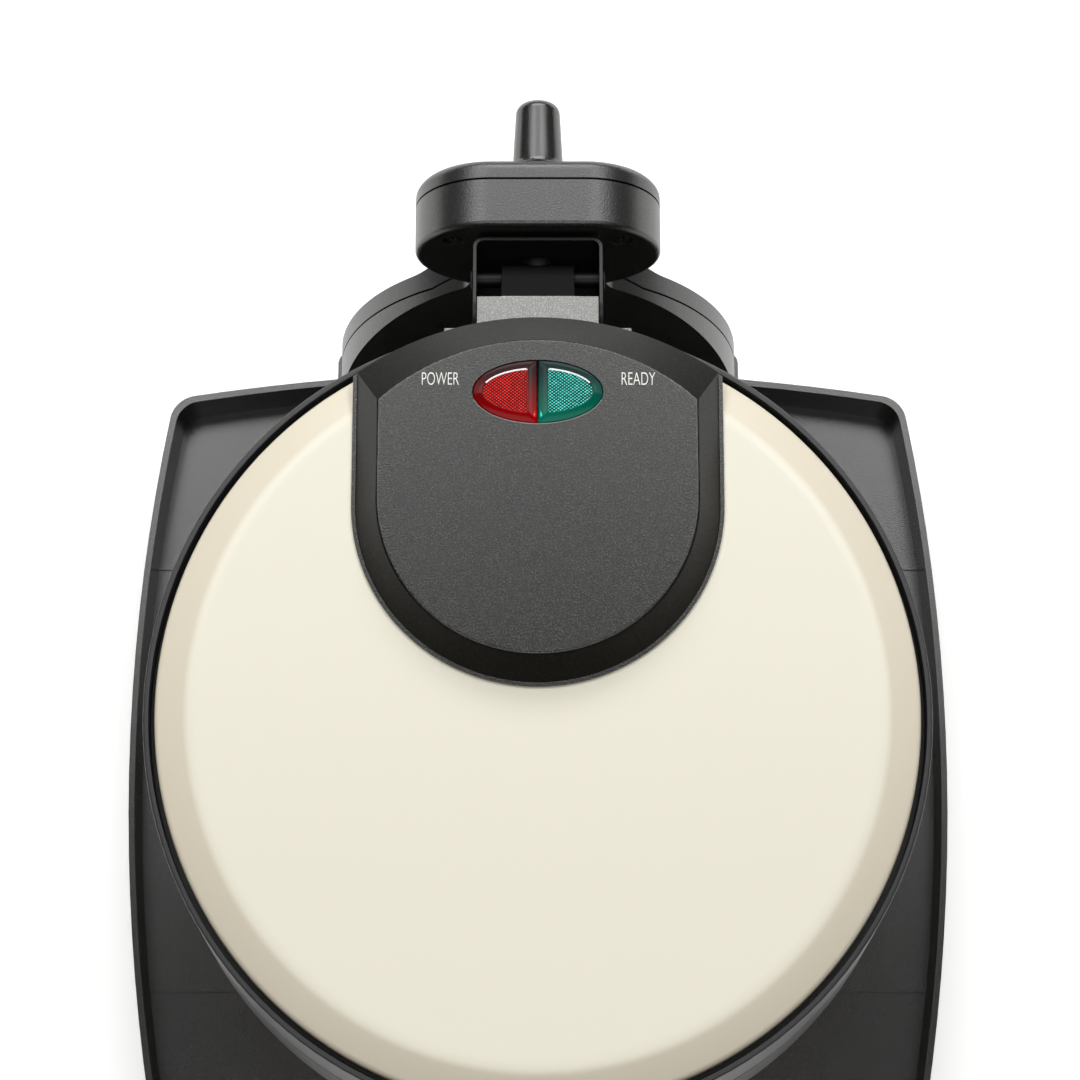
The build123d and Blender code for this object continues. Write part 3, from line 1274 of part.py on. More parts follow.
def write_cooker():
    grid = waffle_grid()
    shield_sheet = reflector()
    write("flip_shaft", flip_shaft())
    write("shaft_nut", shaft_nut())
    write("thrust_washer", thrust_washer())
    write("hinge_bracket", hinge_bracket())
    write("bracket_screws", Compound(bracket_screws()))
    write("hinge_pin", hinge_pin())
    write("lower_housing", lower_ring())
    write("lower_cover", lower(cover_sheet()))
    write("lower_grid", lower(grid))
    write("lower_heater", lower(heater()))
    write("lower_reflector", lower(shield_sheet))
    write("lower_thermostat_base", lower(thermostat_base()))
    write("lower_contact_arm", lower(contact_arm()))
    write("lower_thermal_fuse", lower(thermal_fuse()))
    write("lower_grid_screws", Compound([lower(piece) for piece in grid_screws()]))
    write("lower_handle", lower_handle())
    write("lower_handle_screws", Compound([lower(piece) for piece in handle_screws()]))
    write("upper_grid", upper(grid))
    write("upper_reflector", upper(shield_sheet))


def write_lid():
    write("hinge_strap", hinge_strap())
    write("strap_screws", Compound(strap_screws()))
    write("upper_housing", upper_ring())
    write("lid_cover", lid_cover())
    write("light_panel", light_panel())
    write("panel_screws", Compound(panel_screws()))
    write("power_lens", lens(-1))
    write("ready_lens", lens(1))
    write("power_lamp", lamp(-1))
    write("ready_lamp", lamp(1))
    write("lamp_holder", lamp_holder())
    write("cover_clips", Compound(cover_clips()))
    write("upper_heater", upper(heater()))
    write("upper_thermostat_base", upper(thermostat_base()))
    write("upper_contact_arm", upper(contact_arm()))
    write("upper_thermal_fuse", upper(thermal_fuse()))
    write("upper_grid_screws", Compound([upper(piece) for piece in grid_screws()]))
    write("upper_handle", upper_handle())
    write("upper_handle_screws", Compound([upper(piece) for piece in handle_screws()]))
    write("latch_bail", latch_bail())


write_stand()
write_cooker()
write_lid()
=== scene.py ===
# Looks of a belgian waffle maker: finishes, formed pieces, smooth copies, camera, lights and floor
import json
import math

import bmesh
import bpy
import numpy as np
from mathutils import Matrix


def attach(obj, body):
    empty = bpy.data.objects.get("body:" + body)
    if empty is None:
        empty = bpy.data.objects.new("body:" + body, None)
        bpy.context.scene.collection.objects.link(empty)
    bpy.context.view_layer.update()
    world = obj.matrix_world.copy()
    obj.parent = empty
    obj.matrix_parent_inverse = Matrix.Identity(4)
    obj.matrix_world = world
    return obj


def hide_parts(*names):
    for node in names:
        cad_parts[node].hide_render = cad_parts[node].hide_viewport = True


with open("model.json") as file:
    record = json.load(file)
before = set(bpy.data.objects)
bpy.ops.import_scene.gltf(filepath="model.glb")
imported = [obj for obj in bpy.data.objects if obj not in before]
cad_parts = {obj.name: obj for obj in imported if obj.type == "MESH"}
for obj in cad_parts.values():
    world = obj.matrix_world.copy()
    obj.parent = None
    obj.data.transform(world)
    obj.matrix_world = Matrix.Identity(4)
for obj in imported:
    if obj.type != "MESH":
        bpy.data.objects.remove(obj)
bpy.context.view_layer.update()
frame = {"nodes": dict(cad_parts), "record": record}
nodes = frame["nodes"]
scene = bpy.context.scene
scene.view_settings.view_transform = "Standard"

# Places of a colour mix's sockets: its two colours among the inputs, and the mixed one among the outputs
MIX_LOW, MIX_HIGH, MIX_RESULT = 6, 7, 2


def to_linear(code):
    """A colour written as an sRGB hex code, as linear red, green, blue and alpha."""
    parts = [int(code[i:i + 2], 16) / 255 for i in (1, 3, 5)]
    return [c / 12.92 if c <= 0.04045 else ((c + 0.055) / 1.055) ** 2.4 for c in parts] + [1.0]


def add(tree, kind, settings=None, links=None):
    """Adds a node of a kind, sets its values and sockets, and links other nodes' outputs into it."""
    node = tree.nodes.new(kind)
    for key, value in (settings or {}).items():
        if key in node.inputs.keys():
            node.inputs[key].default_value = value
        else:
            setattr(node, key, value)
    for key, source in (links or {}).items():
        tree.links.new(source, node.inputs[key])
    return node


def maths(tree, operation, *values):
    """One step of arithmetic: each value is a socket to link or a plain number."""
    node = add(tree, "ShaderNodeMath", {"operation": operation})
    for socket, value in zip(node.inputs, values):
        if isinstance(value, float):
            socket.default_value = value
        else:
            tree.links.new(value, socket)
    return node.outputs[0]


def ramp(tree, value, low, high, to_low=0.0, to_high=1.0):
    """Takes a value from low and high to to_low and to_high, in a straight line held at both ends."""
    settings = {"From Min": low, "From Max": high, "To Min": to_low, "To Max": to_high}
    return add(tree, "ShaderNodeMapRange", settings, {"Value": value}).outputs["Result"]


def blend(tree, factor, low, high):
    """Goes from low to high by a factor: each of the two is a hex colour or a socket."""
    mixed = add(tree, "ShaderNodeMix", {"data_type": "RGBA"}, {0: factor})
    for index, colour in ((MIX_LOW, low), (MIX_HIGH, high)):
        if isinstance(colour, str):
            mixed.inputs[index].default_value = to_linear(colour)
        else:
            tree.links.new(colour, mixed.inputs[index])
    return mixed.outputs[MIX_RESULT]


def parts_of(tree, vector):
    """The x, y and z parts of a vector's socket, as sockets."""
    return add(tree, "ShaderNodeSeparateXYZ", links={"Vector": vector}).outputs


def new_material(name, colour, roughness, metallic=0.0, **sockets):
    """One shader with its own values: an underscore in a socket's name stands for a space."""
    material = bpy.data.materials.new(name)
    material.use_nodes = True
    tree = material.node_tree
    shader = tree.nodes["Principled BSDF"]
    shader.inputs["Base Color"].default_value = to_linear(colour)
    shader.inputs["Roughness"].default_value = roughness
    shader.inputs["Metallic"].default_value = metallic
    for key, value in sockets.items():
        shader.inputs[key.replace("_", " ")].default_value = value
    return material, tree, shader


def grain(tree, shader, size_mm, depth_mm, detail=3.0):
    """Bump from noise on object coordinates: one grain is about size_mm across. Gives back the noise."""
    place = add(tree, "ShaderNodeTexCoord")
    noise = add(tree, "ShaderNodeTexNoise", {"Scale": 1000 / size_mm, "Detail": detail, "Roughness": 0.6},
                {"Vector": place.outputs["Object"]})
    bump = add(tree, "ShaderNodeBump", {"Strength": 1.0, "Distance": depth_mm / 1000},
               {"Height": noise.outputs["Fac"]})
    tree.links.new(bump.outputs["Normal"], shader.inputs["Normal"])
    return noise.outputs["Fac"]


def plain(name, colour, roughness, metallic=0.0, size_mm=0.8, depth_mm=0.02, **sockets):
    """One even colour with a fine grain."""
    material, tree, shader = new_material(name, colour, roughness, metallic, **sockets)
    grain(tree, shader, size_mm, depth_mm)
    return material


# Heights of the grain between which a texture's colour goes from its pits' to its tops'
FLECK_LOW, FLECK_HIGH = 0.48, 0.72


def flecked(name, dark, light, roughness, size_mm, depth_mm, metallic=0.0, gloss=1.0):
    """A skin with fine pits in the bump and a lighter fleck on the high spots: the tops of a texture
    scatter more light than the pits between them, so a dark surface gets its sandy look."""
    material, tree, shader = new_material(name, dark, roughness, metallic, Specular_IOR_Level=gloss)
    high = ramp(tree, grain(tree, shader, size_mm, depth_mm, detail=2.0), FLECK_LOW, FLECK_HIGH)
    tree.links.new(blend(tree, high, dark, light), shader.inputs["Base Color"])
    return material


# Height parts of the normal between which the enamel goes from its slopes' painted shade to its flat colour
SLOPE_Z, FLAT_Z = 0.935, 0.98


def pearl(name, flat_colour, shaded_slope_colour, roughness):
    """Baked pearl enamel with painted shade: the sloped bevel and the skirt get a darker colour than the
    flat top, and the colour goes from the slope's to the flat one's by the height part of the normal."""
    material, tree, shader = new_material(name, flat_colour, roughness, Specular_IOR_Level=0.35)
    grain(tree, shader, size_mm=2.0, depth_mm=0.002)
    normal = add(tree, "ShaderNodeTexCoord").outputs["Normal"]
    # Painted shade: the steeper the face, the darker its colour
    flat = ramp(tree, maths(tree, "ABSOLUTE", parts_of(tree, normal)["Z"]), SLOPE_Z, FLAT_Z)
    tree.links.new(blend(tree, flat, shaded_slope_colour, flat_colour), shader.inputs["Base Color"])
    return material


# Parting line of the column's shells, in metres: its y in the foot and the head, and the heights between
SEAM_FOOT, SEAM_HEAD = 0.158, 0.1687
SEAM_KNEE, SEAM_NECK = 0.092, 0.12
SEAM_HALF = 0.00022
SEAM_FADE = 0.0002


def seamed(material):
    """Darkens a moulding where its two shells meet, as the narrow gap there returns no light: the parting
    line lies at one y up to the knee, leans back above it, and stands at another y in the head."""
    tree = material.node_tree
    shader = tree.nodes["Principled BSDF"]
    parts = parts_of(tree, add(tree, "ShaderNodeTexCoord").outputs["Object"])
    seam = ramp(tree, parts["Z"], SEAM_KNEE, SEAM_NECK, SEAM_FOOT, SEAM_HEAD)
    away = maths(tree, "ABSOLUTE", maths(tree, "SUBTRACT", parts["Y"], seam))
    clear = ramp(tree, away, SEAM_HALF, SEAM_HALF + SEAM_FADE)
    skin = shader.inputs["Base Color"].links[0].from_socket
    tree.links.new(blend(tree, clear, "#020202", skin), shader.inputs["Base Color"])
    tree.links.new(clear, shader.inputs["Specular IOR Level"])
    return material


finishes = {
    # Pearl lacquer baked on pressed steel: warm white with a soft sheen, and painted shade darkening the
    # slope round the edge
    "cream_enamel": pearl("baked_pearl_enamel", "#EDE9D8", "#E2DAC6", 0.33),
    # Injection-moulded polypropylene with a spark-eroded skin: black with a sandy grey sparkle
    "black_moulding": flecked("black_polypropylene", "#090908", "#343330", 0.24, 0.5, 0.045),
    # Compression-moulded phenolic: dense dark grey that keeps a dull sheen near the hot plates
    "dark_ring": plain("dark_phenolic", "#2C2C2D", 0.4, size_mm=0.7),
    # Clear tinted polycarbonate: smooth, with sharp reflections
    "red_lens": plain("red_polycarbonate", "#B01018", 0.15),
    "green_lens": plain("green_polycarbonate", "#10806C", 0.15),
    # Thin clear glass of the lamps: smooth and warm, with a sharp highlight
    "lamp_glass": plain("lamp_glass", "#E8C9A0", 0.05),
    # Pressed and glazed steatite: off-white ceramic with a soft gloss
    "white_moulding": plain("glazed_steatite", "#E4E0D4", 0.35),
    # Cold-rolled sheet left bare and tumbled: grainy grey without a clear reflection
    "bare_steel": flecked("rolled_steel", "#7C7C7A", "#ACACAA", 0.48, 0.28, 0.014, metallic=1.0, gloss=0.5),
    # Oiled black-oxide steel: nearly black with a little metal glow
    "black_steel": plain("black_oxide_steel", "#0C0C0C", 0.45, 0.2, Specular_IOR_Level=0.3),
    # Zinc-plated screws: bright, slightly blue-grey metal
    "screw_steel": plain("zinc_plated_steel", "#C0C0BC", 0.3, 1.0),
    # Folded sheet dipped in electro-coat: even satin black
    "dark_bracket": plain("black_e_coat", "#1A1A1B", 0.35),
    # Cast aluminium, blasted and spray-coated: charcoal with fine specks of the coat's filler
    "coated_casting": flecked("ptfe_coated_aluminium", "#1C1C1E", "#3A3A3C", 0.38, 0.5, 0.02),
    # Heater tube dulled by heat: brownish grey metal
    "element_sheath": plain("oxidised_heater_sheath", "#5A5856", 0.5, 0.8),
    # Spun mill-finish aluminium: pale metal that blurs what it mirrors
    "shield_sheet": plain("mill_aluminium", "#D0D0D2", 0.35, 1.0),
    # Drawn and plated case: pale yellowish metal
    "fuse_case": plain("plated_fuse_case", "#C8C4BA", 0.3, 1.0),
    # Sprung bronze strip: warm yellow metal
    "contact_leaf": plain("sprung_bronze", "#C9A35C", 0.3, 1.0),
    # Sintered bronze, oil in its pores: dull brown metal
    "bush_bronze": plain("sintered_bronze", "#A98850", 0.5, 1.0),
    # Moulded rubber: matt black
    "foot_rubber": plain("foot_rubber", "#161616", 0.8),
    # Moulded nylon: satin black
    "gland_nylon": plain("gland_nylon", "#141414", 0.4),
}
for entry in frame["record"]["subparts"]:
    node = nodes[entry["node"]]
    node.data.materials.clear()
    node.data.materials.append(finishes[entry["material_slot"]])


def smooth_piece(name, points, faces, body, finish, slot, *replaced):
    """Puts an array of points, in millimetres, and faces into a smooth mesh that rides on a body."""
    mesh = bpy.data.meshes.new(name)
    mesh.from_pydata((points / 1000).tolist(), [], faces)
    mesh.update()
    mesh.shade_smooth()
    mesh.materials.append(finish)
    obj = bpy.data.objects.new(name, mesh)
    scene.collection.objects.link(obj)
    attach(obj, body)
    if replaced:
        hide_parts(*replaced)
    return obj


def ring_faces(rows, around):
    """Quads between closed rings: row i, column j to row i + 1, column j + 1."""
    i, j = np.meshgrid(np.arange(rows - 1), np.arange(around), indexing="ij")
    k = (j + 1) % around
    quads = np.stack([i * around + j, i * around + k, (i + 1) * around + k, (i + 1) * around + j], axis=-1)
    return quads.reshape(-1, 4).tolist()


def stack_rings(rings):
    """Joins rings of equal count into one closed surface: both end rings are closed by a flat face."""
    points = np.concatenate(rings)
    around = len(rings[0])
    last = (len(rings) - 1) * around
    first_cap = list(range(around))[::-1]
    last_cap = [last + j for j in range(around)]
    return points, ring_faces(len(rings), around) + [first_cap, last_cap]


# Oval lens in the panel, in millimetres
LENS_X, LENS_Y = 17.65, 8.95
LENS_MIDDLE_Y = 99.6
LENS_TOP = 170.6
LENS_BORDER = 2.55
LENS_PARTING = 0.12
# Insets and depths of a half lens, from the foot of its wall over the sloped border to the hatched face
LENS_PROFILE = (
    (0.0, -4.0),
    (0.0, -0.75),
    (0.12, -0.55),
    (0.35, -0.45),
    (LENS_BORDER - 0.3, -0.06),
    (LENS_BORDER, 0.0),
    (LENS_BORDER + 0.18, -0.06),
)
# Share of the half depth where the border's painted shade is darkest, and where the painted highlight line
# begins
BORDER_SHADE_AT, LINE_BEGINS_AT = 0.6, 0.26
# The painted highlight line keeps this far from the parting, and lies where the ellipse's sum is over this
LINE_CLEARANCE, LINE_ON_ARC = 0.4, 0.9
# Diamond lattice under the face: its pitches, its unevenness for each metre, and where its painted
# highlights begin and are full
PRISM_PITCHES = (("X", 1.12), ("Y", 0.86))
PRISM_UNEVEN = 900.0
PRISM_DIM, PRISM_BRIGHT = 0.5, 1.1
PRISM_RELIEF = 0.0001


def prism_face(name, dark, bright):
    """Hatched face under clear plastic, with painted highlights: the colour is bright where cos(2 pi x / a)
    cos(2 pi y / b) is high, a diamond lattice a wide and b deep; the same product raises the bumps."""
    material, tree, shader = new_material(name, dark, 0.45, Specular_IOR_Level=0.15)
    place = add(tree, "ShaderNodeTexCoord").outputs["Object"]
    parts = parts_of(tree, place)
    waves = [maths(tree, "COSINE", maths(tree, "MULTIPLY", parts[axis], 2 * math.pi * 1000 / pitch_mm))
             for axis, pitch_mm in PRISM_PITCHES]
    lattice = maths(tree, "MULTIPLY", *waves)
    uneven = add(tree, "ShaderNodeTexNoise", {"Scale": PRISM_UNEVEN, "Detail": 2.0}, {"Vector": place})
    painted_highlight = ramp(tree, maths(tree, "ADD", lattice, uneven.outputs["Fac"]), PRISM_DIM, PRISM_BRIGHT)
    tree.links.new(blend(tree, painted_highlight, dark, bright), shader.inputs["Base Color"])
    bump = add(tree, "ShaderNodeBump", {"Distance": PRISM_RELIEF}, {"Height": lattice})
    tree.links.new(bump.outputs["Normal"], shader.inputs["Normal"])
    return material


def lens_border(name, shaded_rear_colour, lit_front_colour):
    """Clear coloured edge of the lens with painted shade: lit deep colour in front, nearly black at the
    rear where the deep wall behind it is in shade.
    """
    material, tree, shader = new_material(name, lit_front_colour, 0.12, Specular_IOR_Level=0.12)
    parts = parts_of(tree, add(tree, "ShaderNodeTexCoord").outputs["Object"])
    front_y = (LENS_MIDDLE_Y - LENS_Y) / 1000
    shade_y = (LENS_MIDDLE_Y + LENS_Y * BORDER_SHADE_AT) / 1000
    colour = blend(tree, ramp(tree, parts["Y"], front_y, shade_y), lit_front_colour, shaded_rear_colour)
    tree.links.new(colour, shader.inputs["Base Color"])
    return material


def half_lens_ring(side, inset, z, along=72, across=16):
    """Half an ellipse drawn in by an inset: arc (half_x - inset) cos a, (half_y - inset) sin a, closed by
    a straight run beside the parting line of the two halves."""
    half_x = LENS_X - inset
    half_y = LENS_Y - inset
    near = LENS_PARTING + inset
    limit = math.acos(near / half_x)
    a = np.linspace(-limit, limit, along)
    run = np.linspace(half_y * math.sin(limit), -half_y * math.sin(limit), across + 2)[1:-1]
    x = side * np.concatenate([half_x * np.cos(a), np.full(across, near)])
    y = LENS_MIDDLE_Y + np.concatenate([half_y * np.sin(a), run])
    ring = np.stack([x, y, np.full(along + across, z)], axis=-1)
    return ring if side > 0 else ring[::-1]


def half_lens(name, side, border, face, slot, replaced):
    """One half of the oval lens: wall, rounded edge, sloped border, a painted highlight line and a hatched
    face.
    Each row of its profile, an inset and a depth, is one ring."""
    rings = [half_lens_ring(side, inset, LENS_TOP + depth) for inset, depth in LENS_PROFILE]
    points, faces = stack_rings(rings)
    mesh = smooth_piece(name, points, faces, "lid", border, slot, replaced).data
    mesh.materials.append(face)
    mesh.materials.append(painted_edge_highlight)
    top = mesh.polygons[len(mesh.polygons) - 1]
    top.material_index = 1
    top.use_smooth = False
    around = len(rings[0])
    for polygon in mesh.polygons[(len(rings) - 3) * around:(len(rings) - 1) * around]:
        out = abs(polygon.center.x) * 1000
        back = polygon.center.y * 1000 - LENS_MIDDLE_Y
        arc = (out / (LENS_X - LENS_BORDER)) ** 2 + (back / (LENS_Y - LENS_BORDER)) ** 2
        if back > LENS_Y * LINE_BEGINS_AT and out > LENS_BORDER + LINE_CLEARANCE and arc > LINE_ON_ARC:
            polygon.material_index = 2


# Corners of the painted glint's facet: distance from the parting, distance behind the lens's front, and
# depths
GLINT_OUT, GLINT_BACK = (0.45, 1.7, 0.75), (1.3, 1.45, 3.7)
GLINT_FOOT, GLINT_TIP = 0.42, 0.2


def corner_glint(name, side, finish):
    """Small facet with a painted glint in the lens's front corner, beside the parting line: a
    three-sided pyramid whose tip is over the mean of its corners."""
    x = side * np.array(GLINT_OUT)
    y = LENS_MIDDLE_Y - LENS_Y + np.array(GLINT_BACK)
    low = np.stack([x, y, np.full(3, LENS_TOP - GLINT_FOOT)], axis=-1)
    tip = np.array([[x.mean(), y.mean(), LENS_TOP - GLINT_TIP]])
    faces = [(0, 1, 3), (1, 2, 3), (2, 0, 3), (2, 1, 0)]
    if side < 0:
        faces = [face[::-1] for face in faces]
    smooth_piece(name, np.concatenate([low, tip]), faces, "lid", finish, "green_lens")


# Raised rim of the lens's seat: distance outside the lens and height of each corner, and the arc's ends
SEAT_SECTION = ((0.46, 170.0), (0.42, 170.1), (0.3, 170.14), (0.16, 170.1), (0.12, 170.0))
SEAT_FROM, SEAT_TO, SEAT_STEPS = 195, 345, 121


def lens_seat_edge():
    """Thin line of painted highlight where the rim of the lens's seat turns up to the light: an open
    ellipse's arc, (half_x + out) cos a, (half_y + out) sin a, in front of the lens, swept with a low raised
    section."""
    out, z = np.array(SEAT_SECTION).T
    rings = []
    for a in np.radians(np.linspace(SEAT_FROM, SEAT_TO, SEAT_STEPS)):
        x = (LENS_X + out) * math.cos(a)
        y = LENS_MIDDLE_Y + (LENS_Y + out) * math.sin(a)
        rings.append(np.stack([x, y, z], axis=-1))
    points, faces = stack_rings(rings)
    # Painted highlight: the raised rim is grey with a gloss on the black panel, so it reads as a thin lit
    # line
    rim = plain("seat_rim_painted_highlight", "#8A8A86", 0.2)
    smooth_piece("lens_seat_edge", points, faces, "lid", rim, "black_moulding")


# Painted highlight on the edge inside the border: a thin white line
painted_edge_highlight = plain("lens_edge_painted_highlight", "#F4F6F6", 0.1)
# Tinted borders with painted shade: nearly black at the rear, deep red or green in front
red_border = lens_border("red_clear_edge_painted_shade", "#2C0408", "#980004")
green_border = lens_border("green_clear_edge_painted_shade", "#012624", "#00705A")
# Prisms under the faces: painted highlights, bright diamonds on a deep ground of the same colour
red_face = prism_face("red_prisms_painted_highlights", "#5E0206", "#FF2E28")
green_face = prism_face("green_prisms_painted_highlights", "#013C3A", "#66F5E2")
# Painted glints: one bright spot of pure colour in each half
red_painted_glint = plain("red_painted_glint", "#FF3020", 0.2)
green_painted_glint = plain("green_painted_glint", "#2CF0D0", 0.2)
half_lens("power_lens_half", -1, red_border, red_face, "red_lens", "power_lens")
half_lens("ready_lens_half", 1, green_border, green_face, "green_lens", "ready_lens")
lens_seat_edge()
corner_glint("power_lens_glint", -1, red_painted_glint)
corner_glint("ready_lens_glint", 1, green_painted_glint)


# Domed screw heads, in millimetres: the dome, then its cross recess
HEAD_RADIUS, HEAD_RISE, HEAD_EDGE, HEAD_FOOT = 2.4, 0.8, 0.1, -0.05
HEAD_POLE = 0.05
HEAD_RINGS, HEAD_AROUND = 20, 48
CROSS_DEPTH, CROSS_HALF, CROSS_ARM, CROSS_SOFT = 0.7, 0.42, 1.6, 0.15


def cross_arm(along, across):
    """How far a point is inside one bar of the cross, from 0 outside to 1, with a soft edge."""
    inside = np.clip((CROSS_HALF - abs(across)) / CROSS_SOFT, 0, 1)
    return inside * np.clip((CROSS_ARM - abs(along)) / CROSS_SOFT, 0, 1)


def screw_cap(name, middle, across, up, slot):
    """Domed screw head with a cross recess: on rings of radius r and angles a its height is
    h (1 - (r / R)^2) less the recess's depth where |u| or |v| is under the cross's half width."""
    across, up = np.array(across, float), np.array(up, float)
    side = np.cross(up, across)
    a = np.linspace(0, 2 * math.pi, HEAD_AROUND, endpoint=False)
    rings = []
    for r in np.concatenate([[HEAD_RADIUS], np.linspace(HEAD_RADIUS, HEAD_POLE, HEAD_RINGS)]):
        u, v = r * np.cos(a), r * np.sin(a)
        recess = CROSS_DEPTH * np.maximum(cross_arm(v, u), cross_arm(u, v))
        height = HEAD_EDGE + HEAD_RISE * (1 - (r / HEAD_RADIUS) ** 2) - recess
        if not rings:
            height = np.full(len(a), HEAD_FOOT)
        rings.append(np.array(middle) + u[:, None] * across + v[:, None] * side + height[:, None] * up)
    points, faces = stack_rings(rings)
    smooth_piece(name, points, faces, "stand", finishes[slot], slot)


# Each row: name, the heads' x places, their y and z, one direction across, the way they face, and slot
for name, places, y, z, across, up, slot in (
    ("rear_cover_screw_cap", (-40.0, 40.0), 166.0, 40.0, (0, 0, 1), (0, 1, 0), "screw_steel"),
    ("head_screw_cap", (-24.0, 24.0), 155.5, 141.0, (1, 0, 0), (0, -1, 0), "black_steel"),
    ("column_screw_cap", (-48.0, -20.0, 20.0, 48.0), 152.5, 9.8, (0, 1, 0), (0, 0, -1), "screw_steel"),
):
    for x in places:
        screw_cap(name, (x, y, z), across, up, slot)


# Covers of the two halves, in millimetres: middle and half sizes, then the heights over the turning axis
COOKER_Y, AXIS_Z = 14.0, 128.0
COVER_X, COVER_Y = 103.0, 106.7
COVER_FOOT, COVER_SHOULDER, COVER_TOP = 22.0, 30.0, 34.0
COVER_BEVEL = 9.7
COVER_SHEET = 0.8
SHOULDER_DROP = 0.6
INNERMOST_INSET = 100.0
OUTER_ROUNDS, INNER_ROUNDS = (1.6, 2.2), (1.0, 2.0)
COVER_AROUND = 320


def soft_corners(corners, lengths, steps=7):
    """A profile through corner points, each rounded by a quadratic curve that starts and ends a given
    length away from the corner: (1 - t)^2 start + 2 t (1 - t) corner + t^2 end."""
    corners = np.array(corners, float)
    rows = [corners[:1]]
    t = np.linspace(0, 1, steps)[:, None]
    for before, corner, after, length in zip(corners[:-2], corners[1:-1], corners[2:], lengths):
        back = (before - corner) / np.linalg.norm(before - corner)
        ahead = (after - corner) / np.linalg.norm(after - corner)
        start = corner + back * length
        end = corner + ahead * length
        rows.append((1 - t) ** 2 * start + 2 * t * (1 - t) * corner + t**2 * end)
    return np.concatenate(rows + [corners[-1:]])


def cover_face(inset, shoulder, top, rounds):
    """Profile of one side of the sheet: up the skirt, over the rolled bevel and along the flat top."""
    corners = [(inset, COVER_FOOT), (inset, shoulder), (COVER_BEVEL, top), (INNERMOST_INSET, top)]
    return soft_corners(corners, rounds)


def cover_pressing(name, side, body, replaced):
    """An oval pressing: each row of its profile, an inset and a height, is the ring
    (half_x - inset) cos a, middle_y + (half_y - inset) sin a. The profile goes up the outside and back
    underneath at the sheet's thickness; the lower cover is the same one upside down."""
    outside = cover_face(0.0, COVER_SHOULDER, COVER_TOP, OUTER_ROUNDS)
    inside = cover_face(COVER_SHEET, COVER_SHOULDER - SHOULDER_DROP, COVER_TOP - COVER_SHEET, INNER_ROUNDS)
    profile = np.concatenate([inside[::-1], outside])
    profile[:, 1] = AXIS_Z + side * profile[:, 1]
    if side < 0:
        profile = profile[::-1]
    a = np.linspace(0, 2 * math.pi, COVER_AROUND, endpoint=False)
    rings = [np.stack([(COVER_X - inset) * np.cos(a), COOKER_Y + (COVER_Y - inset) * np.sin(a),
                       np.full(COVER_AROUND, z)], axis=-1) for inset, z in profile]
    points, faces = stack_rings(rings)
    smooth_piece(name, points, faces, body, finishes["cream_enamel"], "cream_enamel", replaced)


cover_pressing("lid_cover_pressing", 1, "lid", "lid_cover")
cover_pressing("lower_cover_pressing", -1, "cooker", "lower_cover")


# Points closer than this, in metres, are one point, and faces that turn by less, in degrees, are one face
SAME_POINT = 2e-6
SAME_FACE = 0.6


def softened(node, body, width_mm, segments=2, crease=32):
    """A smooth copy of a node with small rounds on the edges that turn by more than the crease, in degrees,
    as a mould or a press leaves them."""
    mesh = nodes[node].data.copy()
    work = bmesh.new()
    work.from_mesh(mesh)
    bmesh.ops.remove_doubles(work, verts=work.verts, dist=SAME_POINT)
    bmesh.ops.dissolve_limit(work, angle_limit=math.radians(SAME_FACE), verts=work.verts, edges=work.edges)
    work.to_mesh(mesh)
    work.free()
    mesh.shade_smooth()
    mesh.set_sharp_from_angle(angle=math.radians(crease))
    obj = bpy.data.objects.new(node + "_moulding", mesh)
    scene.collection.objects.link(obj)
    bevel = obj.modifiers.new("edge_rounds", "BEVEL")
    bevel.width = width_mm / 1000
    bevel.segments = segments
    bevel.limit_method = "ANGLE"
    bevel.angle_limit = math.radians(crease)
    bevel.harden_normals = True
    even = obj.modifiers.new("even_flats", "WEIGHTED_NORMAL")
    even.keep_sharp = True
    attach(obj, body)
    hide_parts(node)
    return obj


def second_finish(obj, finish, chosen):
    """Gives another finish to the faces that a test chooses."""
    obj.data.materials.append(finish)
    for polygon in obj.data.polygons:
        if chosen(polygon):
            polygon.material_index = 1


# Each row: node, the body it rides on, and the width of its edges' rounds in millimetres
copies = {node: softened(node, body, width) for node, body, width in (
    ("base_tray", "stand", 0.5),
    ("column_front", "stand", 0.6),
    ("column_rear_cover", "stand", 0.6),
    ("storage_post", "stand", 0.3),
    ("upper_housing", "lid", 0.3),
    ("lower_housing", "cooker", 0.3),
    ("upper_handle", "lid", 0.4),
    ("lower_handle", "cooker", 0.4),
    ("hinge_bracket", "cooker", 0.2),
    ("rubber_feet", "stand", 0.4),
    ("cord_gland", "stand", 0.25),
    ("upper_grid", "lid", 0.25),
    ("lower_grid", "cooker", 0.25),
    ("cover_clips", "lid", 0.25),
    ("latch_bail", "latch", 0.1),
    ("hinge_pin", "cooker", 0.15),
    ("rear_cover_screws", "stand", 0.15),
    ("head_screws", "stand", 0.15),
    ("column_screws", "stand", 0.15),
    ("bottom_plate", "stand", 0.2),
)}
panel = softened("light_panel", "lid", 1.0, segments=4, crease=14)
strap = softened("hinge_strap", "lid", 0.2)

# Polypropylene shells with a coarser spark-eroded skin, and painted shade along their parting line
column_skin = seamed(flecked("black_polypropylene_shells", "#080808", "#32322F", 0.32, 0.5, 0.08))
for node in ("column_front", "column_rear_cover"):
    copies[node].data.materials[0] = column_skin
# Phenolic of the lower half, darker and duller than the ring above it: painted shade, as the lid shades it
copies["lower_housing"].data.materials[0] = plain("black_phenolic_painted_shade", "#121213", 0.45, size_mm=0.7,
                                                  Specular_IOR_Level=0.3)
# Grained ABS: black with fine grey specks
panel.data.materials[0] = flecked("black_abs_panel", "#050504", "#46453F", 0.26, 0.42, 0.045, gloss=0.78)
